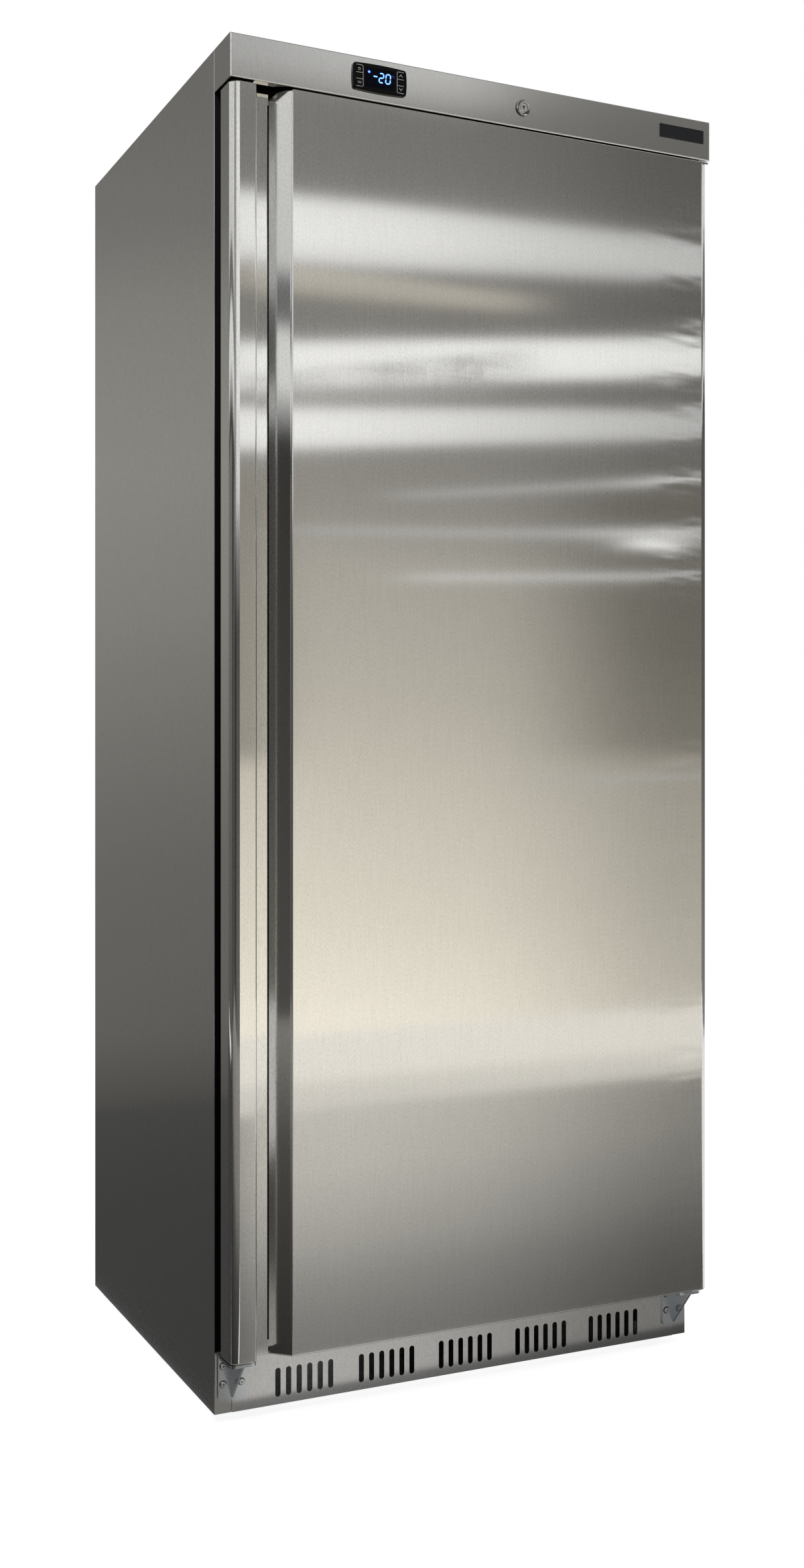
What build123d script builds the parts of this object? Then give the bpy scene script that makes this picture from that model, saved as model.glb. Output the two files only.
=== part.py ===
from build123d import *
import os
from math import cos, pi, radians, sin

# Upright storage freezer with one full-height stainless door, in millimetres.
# +X is to the viewer's right, +Y runs from the door to the back, +Z is up.
# The origin is on the floor under the middle of the cabinet.

os.makedirs("parts", exist_ok=True)

# ---------------------------------------------------------------- cabinet sizes
width = 777.0
depth = 695.0  # front of the fascia to the back panel
height = 1895.0
foot_gap = 15.0  # floor to cabinet with the feet screwed right in
door_zone = 66.4  # front of the fascia to the cabinet's front plane
skin = 0.8  # outer sheet metal
bend = 1.6  # outer radius of a folded edge
wall = 62.0  # outer skin to the inside of the liner
liner_sheet = 2.0
floor_wall = 62.0  # foam under the liner's floor
ceiling_wall = 122.0  # foam over the liner's ceiling, with the wiring space
return_front = 25.0  # side panel turned round the front
return_back = 18.0
base_duct = 86.0  # air duct under the foam, from the grille to the back
machine_depth = 192.0
machine_wall = 50.0  # foam between the machine room and the liner
frame_thickness = 3.0  # breaker frame round the opening
seam = 0.3  # gap between parts that meet without touching

# ---------------------------------------------------------------- fascia sizes
fascia_height = 59.4
fascia_lip = 12.0  # underside flange
badge_width = 79.5
badge_height = 20.2
badge_thickness = 0.8
badge_corner = 1.0
badge_edge = 12.3  # blank plate to the cabinet's right side
badge_drop = 25.3  # top of the cabinet to the middle of the plate

# ---------------------------------------------------------------- controller sizes
control_edge = 219.0  # cabinet's left side to the middle of the bezel
control_drop = 28.7  # top of the cabinet to the middle of the bezel
bezel_width = 80.0
bezel_bulge = 1.3  # how far each end swells past the width
bezel_bow = 1.5  # how far the top and bottom edges bow past the height
bezel_height = 36.0
bezel_corner = 4.0
bezel_proud = 4.0
control_body_width = 71.0
control_body_height = 29.0
control_body_depth = 52.0
lens_width = 46.0
lens_height = 27.0
lens_thickness = 1.0
lens_recess = 0.3  # lens behind the bezel's face
bezel_chamfer = 1.0
key_width = 9.6
key_height = 8.7
key_thickness = 2.0
key_proud = 0.3
key_corner = 1.0
key_travel = 1.0
key_span_z = 19.0  # upper key to lower key
key_span_x = 63.4  # left keys to right keys
key_clearance = 0.25

# ---------------------------------------------------------------- lock sizes
lock_edge = 448.5  # cabinet's left side to the lock's axis
lock_drop = 30.8  # top of the cabinet to the lock's axis
lock_ring_radius = 11.2
lock_ring_proud = 3.5
lock_barrel_radius = 9.2
lock_barrel_length = 26.0
plug_radius = 6.6
plug_clearance = 0.06
plug_recess = 0.4  # plug face behind the ring's face
keyhole_radius = 1.9
keyhole_slot = 1.5
keyhole_drop = 4.4
keyhole_depth = 9.0
cam_length = 39.0  # lock's axis to the cam's tip
cam_width = 11.0
cam_thickness = 2.5
cam_clearance = 2.0
strike_sheet = 1.5

# ---------------------------------------------------------------- door sizes
door_side_gap = 1.5
door_top_gap = 2.4
door_set_back = 2.0  # door face behind the fascia's face
door_rise = 87.0  # underside of the cabinet to the door's bottom edge
door_depth = 41.5  # outer sheet, front to back
door_edge_radius = 12.75
door_end_radius = 2.5  # top and bottom edges of the outer sheet
door_return = 14.0  # sheet turned in at the back
column_width = 37.5
column_radius = 8.0
lip_width = 25.0
lip_set_back = 25.0
lip_thickness = 4.0
lip_radius = 1.8
grip_width = 26.0  # lip edge to the bend into the door's face
grip_mouth = 9.0  # lip edge to the hollow's far wall
grip_depth = 38.0
grip_hook = 15.0  # how far the hollow runs behind the lip
grip_radius = 4.0
grip_bend = 3.0
grip_round = 8.0  # hollow's far wall into the slope
grip_end_low = 20.0  # closed stretch at the door's bottom
grip_end_high = 18.0  # closed stretch at the door's top
rim_inset = 1.5
rim_corner = 6.0
bulge_gap = 9.0  # inner door panel to the side of the opening
bulge_depth = 38.0
bulge_corner = 22.0
bulge_taper = 6.0
gasket_inset = 30.0  # door edge to the middle of the seal
gasket_foot = 16.0
gasket_foot_thickness = 3.0
gasket_neck = 8.0
gasket_nose = 22.0
gasket_nose_thickness = 7.5

# ---------------------------------------------------------------- hinge sizes
bracket_inset = 4.5  # cabinet side to bracket
bracket_width = 40.0
bracket_sheet = 3.0
bracket_rise = 19.0  # underside of the cabinet to the bracket's lower edge
bracket_corner = 6.0
leaf_gap = 4.0  # bracket's leaf to the door's bottom edge
leaf_thickness = 4.0
leaf_reach = 54.0
leaf_corner = 10.0
gusset_sheet = 3.0
hinge_reach = 38.9  # cabinet's front plane to the hinge axis
pin_radius = 5.0
pin_clearance = 0.05
pin_engagement = 20.0
pin_head_radius = 8.0
pin_head = 4.0
bush_radius = 9.0
bush_length = 24.0
screw_span_x = 26.6
screw_rise = 42.0  # underside of the cabinet to the lower screws
screw_span_z = 25.0
screw_radius = 2.4
screw_clearance = 0.1
screw_head_radius = 4.5
screw_head = 3.0
screw_length = 12.0
top_leaf = 3.0  # thickness of the upper bracket's leaf
top_plate_height = 44.0

# ---------------------------------------------------------------- kick grille sizes
grille_proud = 1.0
grille_flange = 10.0
slot_width = 8.0
slot_length = 40.5
slot_pitch = 16.0
slots_in_group = 6
slot_groups = 5
group_pitch = 127.65
slot_rise = 30.75  # underside of the cabinet to the slots' middle

# ---------------------------------------------------------------- feet and base
foot_inset = 55.0
foot_radius = 19.0
foot_pad = 8.0
foot_hex = 17.0
foot_stud_radius = 5.0
foot_stud = 31.0  # stud above the underside
foot_boss_radius = 11.0
foot_boss_height = 12.0
base_sheet = 1.2
base_flange = 22.0

# ---------------------------------------------------------------- cold shelves
shelf_count = 6
shelf_over_step = 55.0  # liner's step over the machine room to the lowest shelf
shelf_headroom = 253.0  # top shelf to the ceiling
pass_count = 6
pass_margin = 33.0  # shelf's side to the outer passes
tube_radius = 4.0
shelf_front_gap = 22.0  # inner door panel to the front bends
shelf_side_gap = 18.5
riser_gap = 23.5  # liner's back to the upright tubes
bend_gap = 9.0  # back bends to the upright tubes
wire = 3.0
wire_count = 16
wire_first = 5.0  # front bends to the first wire
wire_last = 21.0  # start of the back bends to the last wire
clip_width = 20.0
clip_height = 16.0
clip_overlap = 6.0
clip_wire_count = 11  # wires between the front clip and the back clip

# ---------------------------------------------------------------- air circulation fan
inner_fan_drop = 123.0  # ceiling to the fan's axis
inner_fan_box = 200.0
inner_fan_depth = 62.0
inner_fan_sheet = 2.5
inner_fan_corner = 10.0
guard_rings = 4
guard_rod = 2.5
guard_spokes = 4
fan_blades = 5
fan_chord = 0.24  # half of a blade's width as a share of its radius
fan_root = 8.0  # half of a blade's width at the hub
fan_tips = (0.9, 0.97)  # reach of a blade's two outer corners as a share of its radius
fan_hub_radius = 20.0
fan_hub_length = 18.0
fan_blade_sheet = 2.0
fan_pitch = 28.0  # degrees
fan_shaft_radius = 3.0
fan_gap = 7.0  # blade tip to its ring
hub_gap = 2.0  # hub to the motor
motor_radius = 28.0
motor_arm = 10.0

# ---------------------------------------------------------------- machine room
compressor_edge = 193.5  # cabinet's left side to the compressor's axis
compressor_radius = 76.0
compressor_height = 172.0
compressor_seam = 5.0
mount_plate = (216.0, 150.0, 3.0)
mount_height = 14.0
mount_radius = 13.0
mount_span = (184.0, 118.0)
terminal_box = (26.0, 58.0, 57.0)
terminal_rise = 19.0  # underside of the shell to the terminal cover
condenser_edge = 238.5  # cabinet's right side to the condenser's middle
condenser_gap = 16.5  # machine room's front wall to the condenser
condenser_width = 210.0
condenser_core = 48.0
condenser_height = 205.0
machine_headroom = 63.8  # condenser to the machine room's ceiling
condenser_frame = 3.0
condenser_fins = 20
condenser_groove = 4.0
shroud_depth = 24.0
condenser_fan_radius = 84.0
condenser_motor_length = 46.0
drier_radius = 11.0
drier_length = 100.0
liquid_rise = 20.0  # base to the liquid line's axis
pipe_radius = 3.2
suction_radius = 4.0
capillary_radius = 1.5
pipe_bend = 18.0
discharge_rise = 30.0  # compressor's stub or condenser, whichever is higher, to the discharge line
stub_radius = 8.0
stub_length = 12.0
stub_drop = 20.0  # compressor's weld seam down to the suction stub
louvre_width = 150.0
louvre_height = 7.0
louvre_rows = 9
louvre_pitch = 22.0
louvre_columns = 3
louvre_column_pitch = 190.0
gland_radius = 11.0
gland_length = 14.0
gland_bore = 4.5
gland_flange = 15.0
gland_flange_thickness = 3.0
gland_edge = 58.5  # cabinet's left side to the gland
gland_rise = 45.0  # underside of the cabinet to the gland

# ---------------------------------------------------------------- places
left = -width / 2
front = -depth / 2
back = depth / 2
base = foot_gap
cabinet_front = front + door_zone
fascia_low = height - fascia_height
half_inside = width / 2 - skin  # inside face of a side panel
back_inside = back - skin
foam_back = back_inside - skin
foam_low = base + base_duct + skin
foam_top = height - skin
opening_half = width / 2 - wall
cavity_low = foam_low + floor_wall
cavity_top = height - ceiling_wall
cavity_back = back - wall
machine_front = back - machine_depth
base_top = base + base_sheet
machine_top = base_top + condenser_height + machine_headroom
hump_front = machine_front - machine_wall
hump_top = machine_top + machine_wall
frame_half = width / 2 - return_front - seam
frame_back = cabinet_front + frame_thickness
door_bottom = base + door_rise
door_left = left + door_side_gap
door_width = width - 2 * door_side_gap
door_front = front + door_set_back
door_back = door_front + door_depth
door_top = fascia_low - door_top_gap
rim_back = door_back + liner_sheet
hinge_x = width / 2 - bracket_inset - bracket_width / 2
hinge_y = cabinet_front - hinge_reach
badge_x = -left - badge_edge - badge_width / 2
badge_z = height - badge_drop
control_x = left + control_edge
control_z = height - control_drop
lock_x = left + lock_edge
lock_z = height - lock_drop
grille_front = cabinet_front - grille_proud
bracket_bottom = base + bracket_rise
screw_heights = (base + screw_rise, base + screw_rise + screw_span_z)
floor_y = foam_low - skin  # underside of the sheet over the air duct


def front_plane(y):
    """A drawing plane seen from the front: local x is +X and local y is +Z."""
    return Plane.XZ.offset(-y)


def finish(piece, name):
    """Labels a finished piece and writes it to its own file."""
    piece.part.label = name
    export_step(piece.part, f"parts/{name}.step")


# ================================================================ cabinet shell
with BuildPart() as side_panel_left:
    with BuildSketch(Plane.XY.offset(base)):
        with BuildLine():
            FilletPolyline(
                (left + return_front, cabinet_front),
                (left, cabinet_front),
                (left, back),
                (left + return_back, back),
                radius=bend,
            )
            offset(amount=skin, side=Side.RIGHT, kind=Kind.INTERSECTION)
        make_face()
    extrude(amount=foam_top - base)
    with BuildSketch(front_plane(cabinet_front)):
        for screw_z in screw_heights:
            with Locations((-hinge_x - screw_span_x / 2, screw_z)):
                Circle(screw_radius + screw_clearance)
    extrude(amount=-skin, mode=Mode.SUBTRACT)
finish(side_panel_left, "side_panel_left")

with BuildPart() as side_panel_right:
    mirror(side_panel_left.part, about=Plane.YZ)
finish(side_panel_right, "side_panel_right")

with BuildPart() as top_panel:
    with BuildSketch(Plane.XY.offset(foam_top)):
        with Locations((0, (cabinet_front + seam + back) / 2)):
            Rectangle(width, back - cabinet_front - seam)
    extrude(amount=skin)
finish(top_panel, "top_panel")

with BuildPart() as back_panel:
    with BuildSketch(front_plane(foam_back)):
        with Locations((0, (machine_top + skin + foam_top) / 2)):
            Rectangle(2 * (half_inside - bend), foam_top - machine_top - skin)
    extrude(amount=-skin)
finish(back_panel, "back_panel")

# One folded sheet closes the foam from below and makes the machine room's walls.
with BuildPart() as machine_bulkhead:
    with BuildSketch(Plane.YZ.offset(-half_inside)):
        with BuildLine():
            Polyline(
                (cabinet_front + bend, floor_y),
                (machine_front, floor_y),
                (machine_front, machine_top),
                (foam_back, machine_top),
            )
            offset(amount=skin, side=Side.LEFT, kind=Kind.INTERSECTION)
        make_face()
    extrude(amount=2 * half_inside)
finish(machine_bulkhead, "machine_bulkhead")


def cavity_profile(grow):
    """Side view of the liner's inside, grown outwards; its back steps up over the machine room."""
    with BuildSketch() as profile:
        with BuildLine():
            Polyline(
                (cabinet_front, cavity_low - grow),
                (hump_front - grow, cavity_low - grow),
                (hump_front - grow, hump_top - grow),
                (cavity_back + grow, hump_top - grow),
                (cavity_back + grow, cavity_top + grow),
                (cabinet_front, cavity_top + grow),
                close=True,
            )
        make_face()
    return profile.sketch


with BuildPart() as insulation:
    with BuildSketch(Plane.YZ.offset(-half_inside)):
        with BuildLine():
            Polyline(
                (cabinet_front + skin, foam_low),
                (machine_front - skin, foam_low),
                (machine_front - skin, machine_top + skin),
                (foam_back, machine_top + skin),
                (foam_back, foam_top),
                (cabinet_front + skin, foam_top),
                close=True,
            )
        make_face()
    extrude(amount=2 * half_inside)
    fillet(insulation.edges().filter_by(Axis.Z).group_by(Axis.Y)[0], bend - skin)
    with BuildSketch(front_plane(cabinet_front + skin)):
        with Locations((0, (foam_low + foam_top) / 2)):
            Rectangle(2 * frame_half, foam_top - foam_low)
    extrude(amount=-(frame_thickness - skin), mode=Mode.SUBTRACT)
    with BuildSketch(front_plane(frame_back)):
        with Locations((0, (foam_low + fascia_low) / 2)):
            Rectangle(2 * frame_half, fascia_low - foam_low)
    extrude(amount=-liner_sheet, mode=Mode.SUBTRACT)
    with BuildSketch(Plane.YZ.offset(-opening_half - liner_sheet)):
        add(cavity_profile(liner_sheet))
    extrude(amount=2 * (opening_half + liner_sheet), mode=Mode.SUBTRACT)
finish(insulation, "insulation")

with BuildPart() as inner_liner:
    with BuildSketch(Plane.YZ.offset(-opening_half - liner_sheet)):
        add(cavity_profile(liner_sheet))
    extrude(amount=2 * (opening_half + liner_sheet))
    with BuildSketch(front_plane(cabinet_front)):
        with Locations((0, (cavity_low + cavity_top) / 2)):
            Rectangle(2 * (opening_half + liner_sheet), cavity_top - cavity_low + 2 * liner_sheet)
    extrude(amount=-frame_thickness, mode=Mode.SUBTRACT)
    with BuildSketch(front_plane(frame_back)):
        with Locations((0, (foam_low + fascia_low) / 2)):
            Rectangle(2 * frame_half, fascia_low - foam_low)
    extrude(amount=-liner_sheet)
    with BuildSketch(Plane.YZ.offset(-opening_half)):
        add(cavity_profile(0))
    extrude(amount=2 * opening_half, mode=Mode.SUBTRACT)
finish(inner_liner, "inner_liner")

with BuildPart() as front_frame:
    with BuildSketch(front_plane(cabinet_front)):
        with Locations((0, (foam_low + foam_top) / 2)):
            Rectangle(2 * frame_half, foam_top - foam_low)
        with Locations((0, (cavity_low + cavity_top) / 2)):
            Rectangle(2 * opening_half, cavity_top - cavity_low, mode=Mode.SUBTRACT)
    extrude(amount=-frame_thickness)
finish(front_frame, "front_frame")

# ================================================================ base and feet
foot_places = [
    (side * (width / 2 - foot_inset), y)
    for y in (cabinet_front + foot_inset, back - foot_inset)
    for side in (-1, 1)
]

with BuildPart() as base_pan:
    pan_front = cabinet_front + grille_flange + seam
    pan_back = foam_back - seam
    with BuildSketch(front_plane(pan_front)):
        with BuildLine():
            Polyline(
                (-half_inside, base + base_flange),
                (-half_inside, base),
                (half_inside, base),
                (half_inside, base + base_flange),
            )
            offset(amount=base_sheet, side=Side.LEFT, kind=Kind.INTERSECTION)
        make_face()
    extrude(amount=-(pan_back - pan_front))
    with BuildSketch(Plane.XY.offset(base_top)):
        with Locations(*foot_places):
            Circle(foot_boss_radius)
    extrude(amount=foot_boss_height)
    with BuildSketch(Plane.XY.offset(base)):
        with Locations(*foot_places):
            Circle(foot_stud_radius + pin_clearance)
    extrude(amount=base_sheet + foot_boss_height, mode=Mode.SUBTRACT)
finish(base_pan, "base_pan")


def levelling_foot(place):
    """A screw foot: round pad, hexagon to turn it by, and the stud in the base's threaded boss."""
    with BuildPart() as foot:
        with BuildSketch():
            with Locations(place):
                Circle(foot_radius)
        extrude(amount=foot_pad)
        chamfer(foot.edges().filter_by(GeomType.CIRCLE).sort_by(Axis.Z)[-1], foot_pad / 4)
        with BuildSketch(Plane.XY.offset(foot_pad)):
            with Locations(place):
                RegularPolygon(foot_hex / 2, 6, major_radius=False)
        extrude(amount=base - seam - foot_pad)
        with BuildSketch(Plane.XY.offset(base - seam)):
            with Locations(place):
                Circle(foot_stud_radius)
        extrude(amount=foot_stud + seam)
    return foot


foot_names = ("foot_front_left", "foot_front_right", "foot_back_left", "foot_back_right")
for foot_name, foot_place in zip(foot_names, foot_places):
    finish(levelling_foot(foot_place), foot_name)

# ================================================================ kick grille
with BuildPart() as kick_grille:
    grille_top = floor_y - seam
    with BuildSketch(Plane.YZ.offset(-frame_half)):
        with BuildLine():
            Polyline(
                (cabinet_front + grille_flange, base),
                (grille_front, base),
                (grille_front, grille_top),
                (cabinet_front + grille_flange, grille_top),
            )
            offset(amount=grille_proud, side=Side.RIGHT, kind=Kind.INTERSECTION)
        make_face()
    extrude(amount=2 * frame_half)
    with BuildSketch(front_plane(grille_front)):
        with GridLocations(group_pitch, 0, slot_groups, 1):
            with Locations((0, base + slot_rise)):
                with GridLocations(slot_pitch, 0, slots_in_group, 1):
                    SlotOverall(slot_length, slot_width, rotation=90)
        for side in (-1, 1):
            for screw_z in screw_heights:
                with Locations((side * (hinge_x - screw_span_x / 2), screw_z)):
                    Circle(screw_radius + screw_clearance)
    extrude(amount=-grille_proud, mode=Mode.SUBTRACT)
finish(kick_grille, "kick_grille")

# ================================================================ lower hinge brackets
bracket_front = grille_front - bracket_sheet
lower_leaf_front = cabinet_front - leaf_reach
lower_leaf_top = door_bottom - leaf_gap
lower_leaf_low = lower_leaf_top - leaf_thickness
with BuildPart() as bracket_lower_right:
    with BuildSketch(front_plane(bracket_front)):
        with Locations((hinge_x, (bracket_bottom + lower_leaf_top) / 2)):
            Rectangle(bracket_width, lower_leaf_top - bracket_bottom)
        fillet(vertices().group_by(Axis.Y)[0], bracket_corner)
    extrude(amount=-bracket_sheet)
    with BuildSketch(Plane.XY.offset(lower_leaf_low)):
        with Locations((hinge_x, (lower_leaf_front + grille_front) / 2)):
            Rectangle(bracket_width, grille_front - lower_leaf_front)
        fillet(vertices().group_by(Axis.Y)[0], leaf_corner)
    extrude(amount=leaf_thickness)
    with BuildSketch(Plane.YZ.offset(hinge_x - gusset_sheet / 2)):
        with BuildLine():
            Polyline(
                (bracket_front, bracket_bottom + gusset_sheet),
                (bracket_front, lower_leaf_low),
                (lower_leaf_front + gusset_sheet, lower_leaf_low),
                close=True,
            )
        make_face()
    extrude(amount=gusset_sheet)
    with BuildSketch(front_plane(bracket_front)):
        for side in (-1, 1):
            for screw_z in screw_heights:
                with Locations((hinge_x + side * screw_span_x / 2, screw_z)):
                    Circle(screw_radius + screw_clearance)
    extrude(amount=-bracket_sheet, mode=Mode.SUBTRACT)
    with BuildSketch(Plane.XY.offset(lower_leaf_low)):
        with Locations((hinge_x, hinge_y)):
            Circle(pin_radius)
    extrude(amount=leaf_thickness, mode=Mode.SUBTRACT)
finish(bracket_lower_right, "bracket_lower_right")

with BuildPart() as bracket_lower_left:
    mirror(bracket_lower_right.part, about=Plane.YZ)
finish(bracket_lower_left, "bracket_lower_left")

with BuildPart() as bracket_screws:
    screw_spots = [
        (side * hinge_x + step * screw_span_x / 2, screw_z)
        for side in (-1, 1)
        for step in (-1, 1)
        for screw_z in screw_heights
    ]
    with BuildSketch(front_plane(bracket_front)):
        with Locations(*screw_spots):
            Circle(screw_radius)
    extrude(amount=-screw_length)
    with BuildSketch(front_plane(bracket_front)):
        with Locations(*screw_spots):
            Circle(screw_head_radius)
    extrude(amount=screw_head)
    heads = bracket_screws.faces().filter_by(Axis.Y).group_by(Axis.Y)[0]
    fillet(heads.edges(), screw_head / 2)
finish(bracket_screws, "bracket_screws")

# ================================================================ fascia
with BuildPart() as fascia:
    with BuildSketch(front_plane(front)):
        with Locations((0, (fascia_low + height) / 2)):
            Rectangle(width, fascia_height)
    extrude(amount=-(door_zone - seam))
    fillet(fascia.faces().sort_by(Axis.Y)[0].edges(), bend)
    offset(amount=-skin, openings=fascia.faces().sort_by(Axis.Y)[-1])
    with BuildSketch(Plane.XY.offset(fascia_low)):
        with Locations((0, (front + fascia_lip + cabinet_front) / 2)):
            Rectangle(width - 2 * fascia_lip, door_zone - fascia_lip)
    extrude(amount=skin, mode=Mode.SUBTRACT)
    with BuildSketch(front_plane(front)):
        with Locations((control_x, control_z)):
            Rectangle(control_body_width + 2 * seam, control_body_height + 2 * seam)
        with Locations((lock_x, lock_z)):
            Circle(lock_barrel_radius + seam)
    extrude(amount=-skin, mode=Mode.SUBTRACT)
finish(fascia, "fascia")

with BuildPart() as badge_plate:
    with BuildSketch(front_plane(front)):
        with Locations((badge_x, badge_z)):
            RectangleRounded(badge_width, badge_height, badge_corner)
    extrude(amount=badge_thickness)
finish(badge_plate, "badge_plate")

# ================================================================ controller
bezel_front = front - bezel_proud
key_front = bezel_front - key_proud
key_places = [
    (control_x + side * key_span_x / 2, control_z + rise * key_span_z / 2)
    for side in (-1, 1)
    for rise in (1, -1)
]

with BuildPart() as controller_housing:
    with BuildSketch(front_plane(front)):
        with BuildLine():
            half_w = bezel_width / 2
            half_h = bezel_height / 2
            for side in (1, -1):
                ThreePointArc(
                    (control_x - half_w, control_z + side * half_h),
                    (control_x, control_z + side * (half_h + bezel_bow)),
                    (control_x + half_w, control_z + side * half_h),
                )
                ThreePointArc(
                    (control_x + side * half_w, control_z - half_h),
                    (control_x + side * (half_w + bezel_bulge), control_z),
                    (control_x + side * half_w, control_z + half_h),
                )
        make_face()
        fillet(vertices(), bezel_corner)
    extrude(amount=bezel_proud)
    chamfer(controller_housing.faces().sort_by(Axis.Y)[0].edges(), bezel_chamfer)
    with BuildSketch(front_plane(front)):
        with Locations((control_x, control_z)):
            Rectangle(control_body_width, control_body_height)
    extrude(amount=-control_body_depth)
    with BuildSketch(front_plane(bezel_front)):
        with Locations((control_x, control_z)):
            Rectangle(lens_width, lens_height)
    extrude(amount=-(lens_thickness + lens_recess), mode=Mode.SUBTRACT)
    with BuildSketch(front_plane(bezel_front)):
        with Locations(*key_places):
            Rectangle(key_width + 2 * key_clearance, key_height + 2 * key_clearance)
    extrude(amount=-(key_thickness - key_proud + key_travel + key_clearance), mode=Mode.SUBTRACT)
finish(controller_housing, "controller_housing")

with BuildPart() as display_lens:
    with BuildSketch(front_plane(bezel_front + lens_recess)):
        with Locations((control_x, control_z)):
            Rectangle(lens_width, lens_height)
    extrude(amount=-lens_thickness)
finish(display_lens, "display_lens")


def control_key(place):
    """One push key of the controller, standing just proud of the bezel."""
    with BuildPart() as key:
        with BuildSketch(front_plane(key_front)):
            with Locations(place):
                RectangleRounded(key_width, key_height, key_corner)
        extrude(amount=-key_thickness)
    return key


key_names = ("key_upper_left", "key_lower_left", "key_up", "key_down")
for key_name, key_place in zip(key_names, key_places):
    finish(control_key(key_place), key_name)

# ================================================================ lock
ring_front = front - lock_ring_proud
plug_front = ring_front + plug_recess
barrel_back = front + lock_barrel_length
cam_front = barrel_back + seam
cam_back = cam_front + cam_thickness

with BuildPart() as lock_barrel:
    with BuildSketch(front_plane(front)):
        with Locations((lock_x, lock_z)):
            Circle(lock_ring_radius)
    extrude(amount=lock_ring_proud)
    chamfer(lock_barrel.faces().sort_by(Axis.Y)[0].edges(), lock_ring_proud / 3)
    with BuildSketch(front_plane(front)):
        with Locations((lock_x, lock_z)):
            Circle(lock_barrel_radius)
    extrude(amount=-lock_barrel_length)
    with BuildSketch(front_plane(front + skin)):
        with Locations((lock_x, lock_z)):
            RegularPolygon(lock_ring_radius + skin, 6)
    extrude(amount=-lock_ring_proud)
    with BuildSketch(front_plane(ring_front)):
        with Locations((lock_x, lock_z)):
            Circle(plug_radius + plug_clearance)
    extrude(amount=-(lock_barrel_length + lock_ring_proud), mode=Mode.SUBTRACT)
finish(lock_barrel, "lock_barrel")

with BuildPart() as lock_plug:
    with BuildSketch(front_plane(plug_front)):
        with Locations((lock_x, lock_z)):
            Circle(plug_radius)
    extrude(amount=-(cam_front - plug_front))
    with BuildSketch(front_plane(cam_front)):
        with Locations((lock_x + cam_length / 2 - cam_width / 4, lock_z)):
            Rectangle(cam_length + cam_width / 2, cam_width)
        fillet(vertices(), cam_width / 4)
    extrude(amount=-cam_thickness)
    with BuildSketch(front_plane(plug_front)):
        with Locations((lock_x, lock_z + keyhole_radius / 2)):
            Circle(keyhole_radius)
        with Locations((lock_x, lock_z + keyhole_radius / 2 - keyhole_drop / 2)):
            Rectangle(keyhole_slot, keyhole_drop)
    extrude(amount=-keyhole_depth, mode=Mode.SUBTRACT)
finish(lock_plug, "lock_plug")

# ================================================================ door outer sheet
grip_low = door_bottom + grip_end_low
grip_high = door_top - grip_end_high


def door_section(with_grip, inset):
    """Plan of the door drawn in by inset, with or without the finger hollow behind the lip."""
    lip_x = column_width + lip_width
    bend_x = lip_x + grip_width
    wall_x = lip_x + grip_mouth
    corners = [
        (0, door_depth, 0),
        (0, 0, door_edge_radius),
        (column_width, 0, column_radius),
        (column_width, lip_set_back, 0),
    ]
    if with_grip:
        corners += [
            (lip_x, lip_set_back, lip_radius),
            (lip_x, lip_set_back + lip_thickness, lip_radius),
            (lip_x - grip_hook, lip_set_back + lip_thickness, grip_radius),
            (lip_x - grip_hook, grip_depth, grip_radius),
            (wall_x, grip_depth, grip_radius),
            (wall_x, lip_set_back * (bend_x - wall_x) / grip_width, grip_round),
        ]
    else:
        corners += [(lip_x, lip_set_back, 0)]
    corners += [
        (bend_x, 0, grip_bend),
        (door_width, 0, door_edge_radius),
        (door_width, door_depth, 0),
    ]
    with BuildSketch() as section:
        with BuildLine():
            FilletPolyline(
                *[(door_left + u, door_front + v) for u, v, _ in corners],
                radius=[radius for _, _, radius in corners],
                close=True,
            )
        make_face()
        if inset:
            offset(amount=-inset, kind=Kind.INTERSECTION)
    return section.sketch


def door_block(inset):
    """The door's envelope drawn in by inset on every side, with the finger hollow cut."""
    stretches = (
        (door_bottom + inset, grip_low - inset, False),
        (grip_low - inset, grip_high + inset, True),
        (grip_high + inset, door_top - inset, False),
    )
    with BuildPart() as block:
        for z_low, z_high, with_grip in stretches:
            with BuildSketch(Plane.XY.offset(z_low)):
                add(door_section(with_grip, inset))
            extrude(amount=z_high - z_low)
        caps = block.faces().filter_by(Axis.Z).group_by(Axis.Z)
        rounded = ShapeList(
            edge
            for cap in (caps[0][0], caps[-1][0])
            for edge in cap.edges()
            if edge.center().Y < door_back - inset - seam
        )
        fillet(rounded, door_end_radius - inset)
    return block.part


strike_x = lock_x + cam_length / 4
strike_width = cam_length / 2 + cam_width + 2 * cam_clearance
strike_depth = cam_thickness + 2 * cam_clearance
strike_y = (cam_front + cam_back) / 2
strike_drop = door_top - (lock_z - cam_length) + cam_clearance


def door_fittings_cut():
    """Holes for both hinge bushes and the lock's strike box, for cutting from sheet and foam."""
    with BuildPart() as cut:
        for z_low in (door_bottom, door_top - bush_length):
            with BuildSketch(Plane.XY.offset(z_low)):
                with Locations((hinge_x, hinge_y)):
                    Circle(bush_radius)
            extrude(amount=bush_length)
        with BuildSketch(Plane.XY.offset(door_top)):
            with Locations((strike_x, strike_y)):
                Rectangle(strike_width + 2 * strike_sheet, strike_depth + 2 * strike_sheet)
        extrude(amount=-strike_drop - strike_sheet)
    return cut.part


return_low = door_bottom + door_return
return_high = door_top - door_return
fittings = door_fittings_cut()

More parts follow.
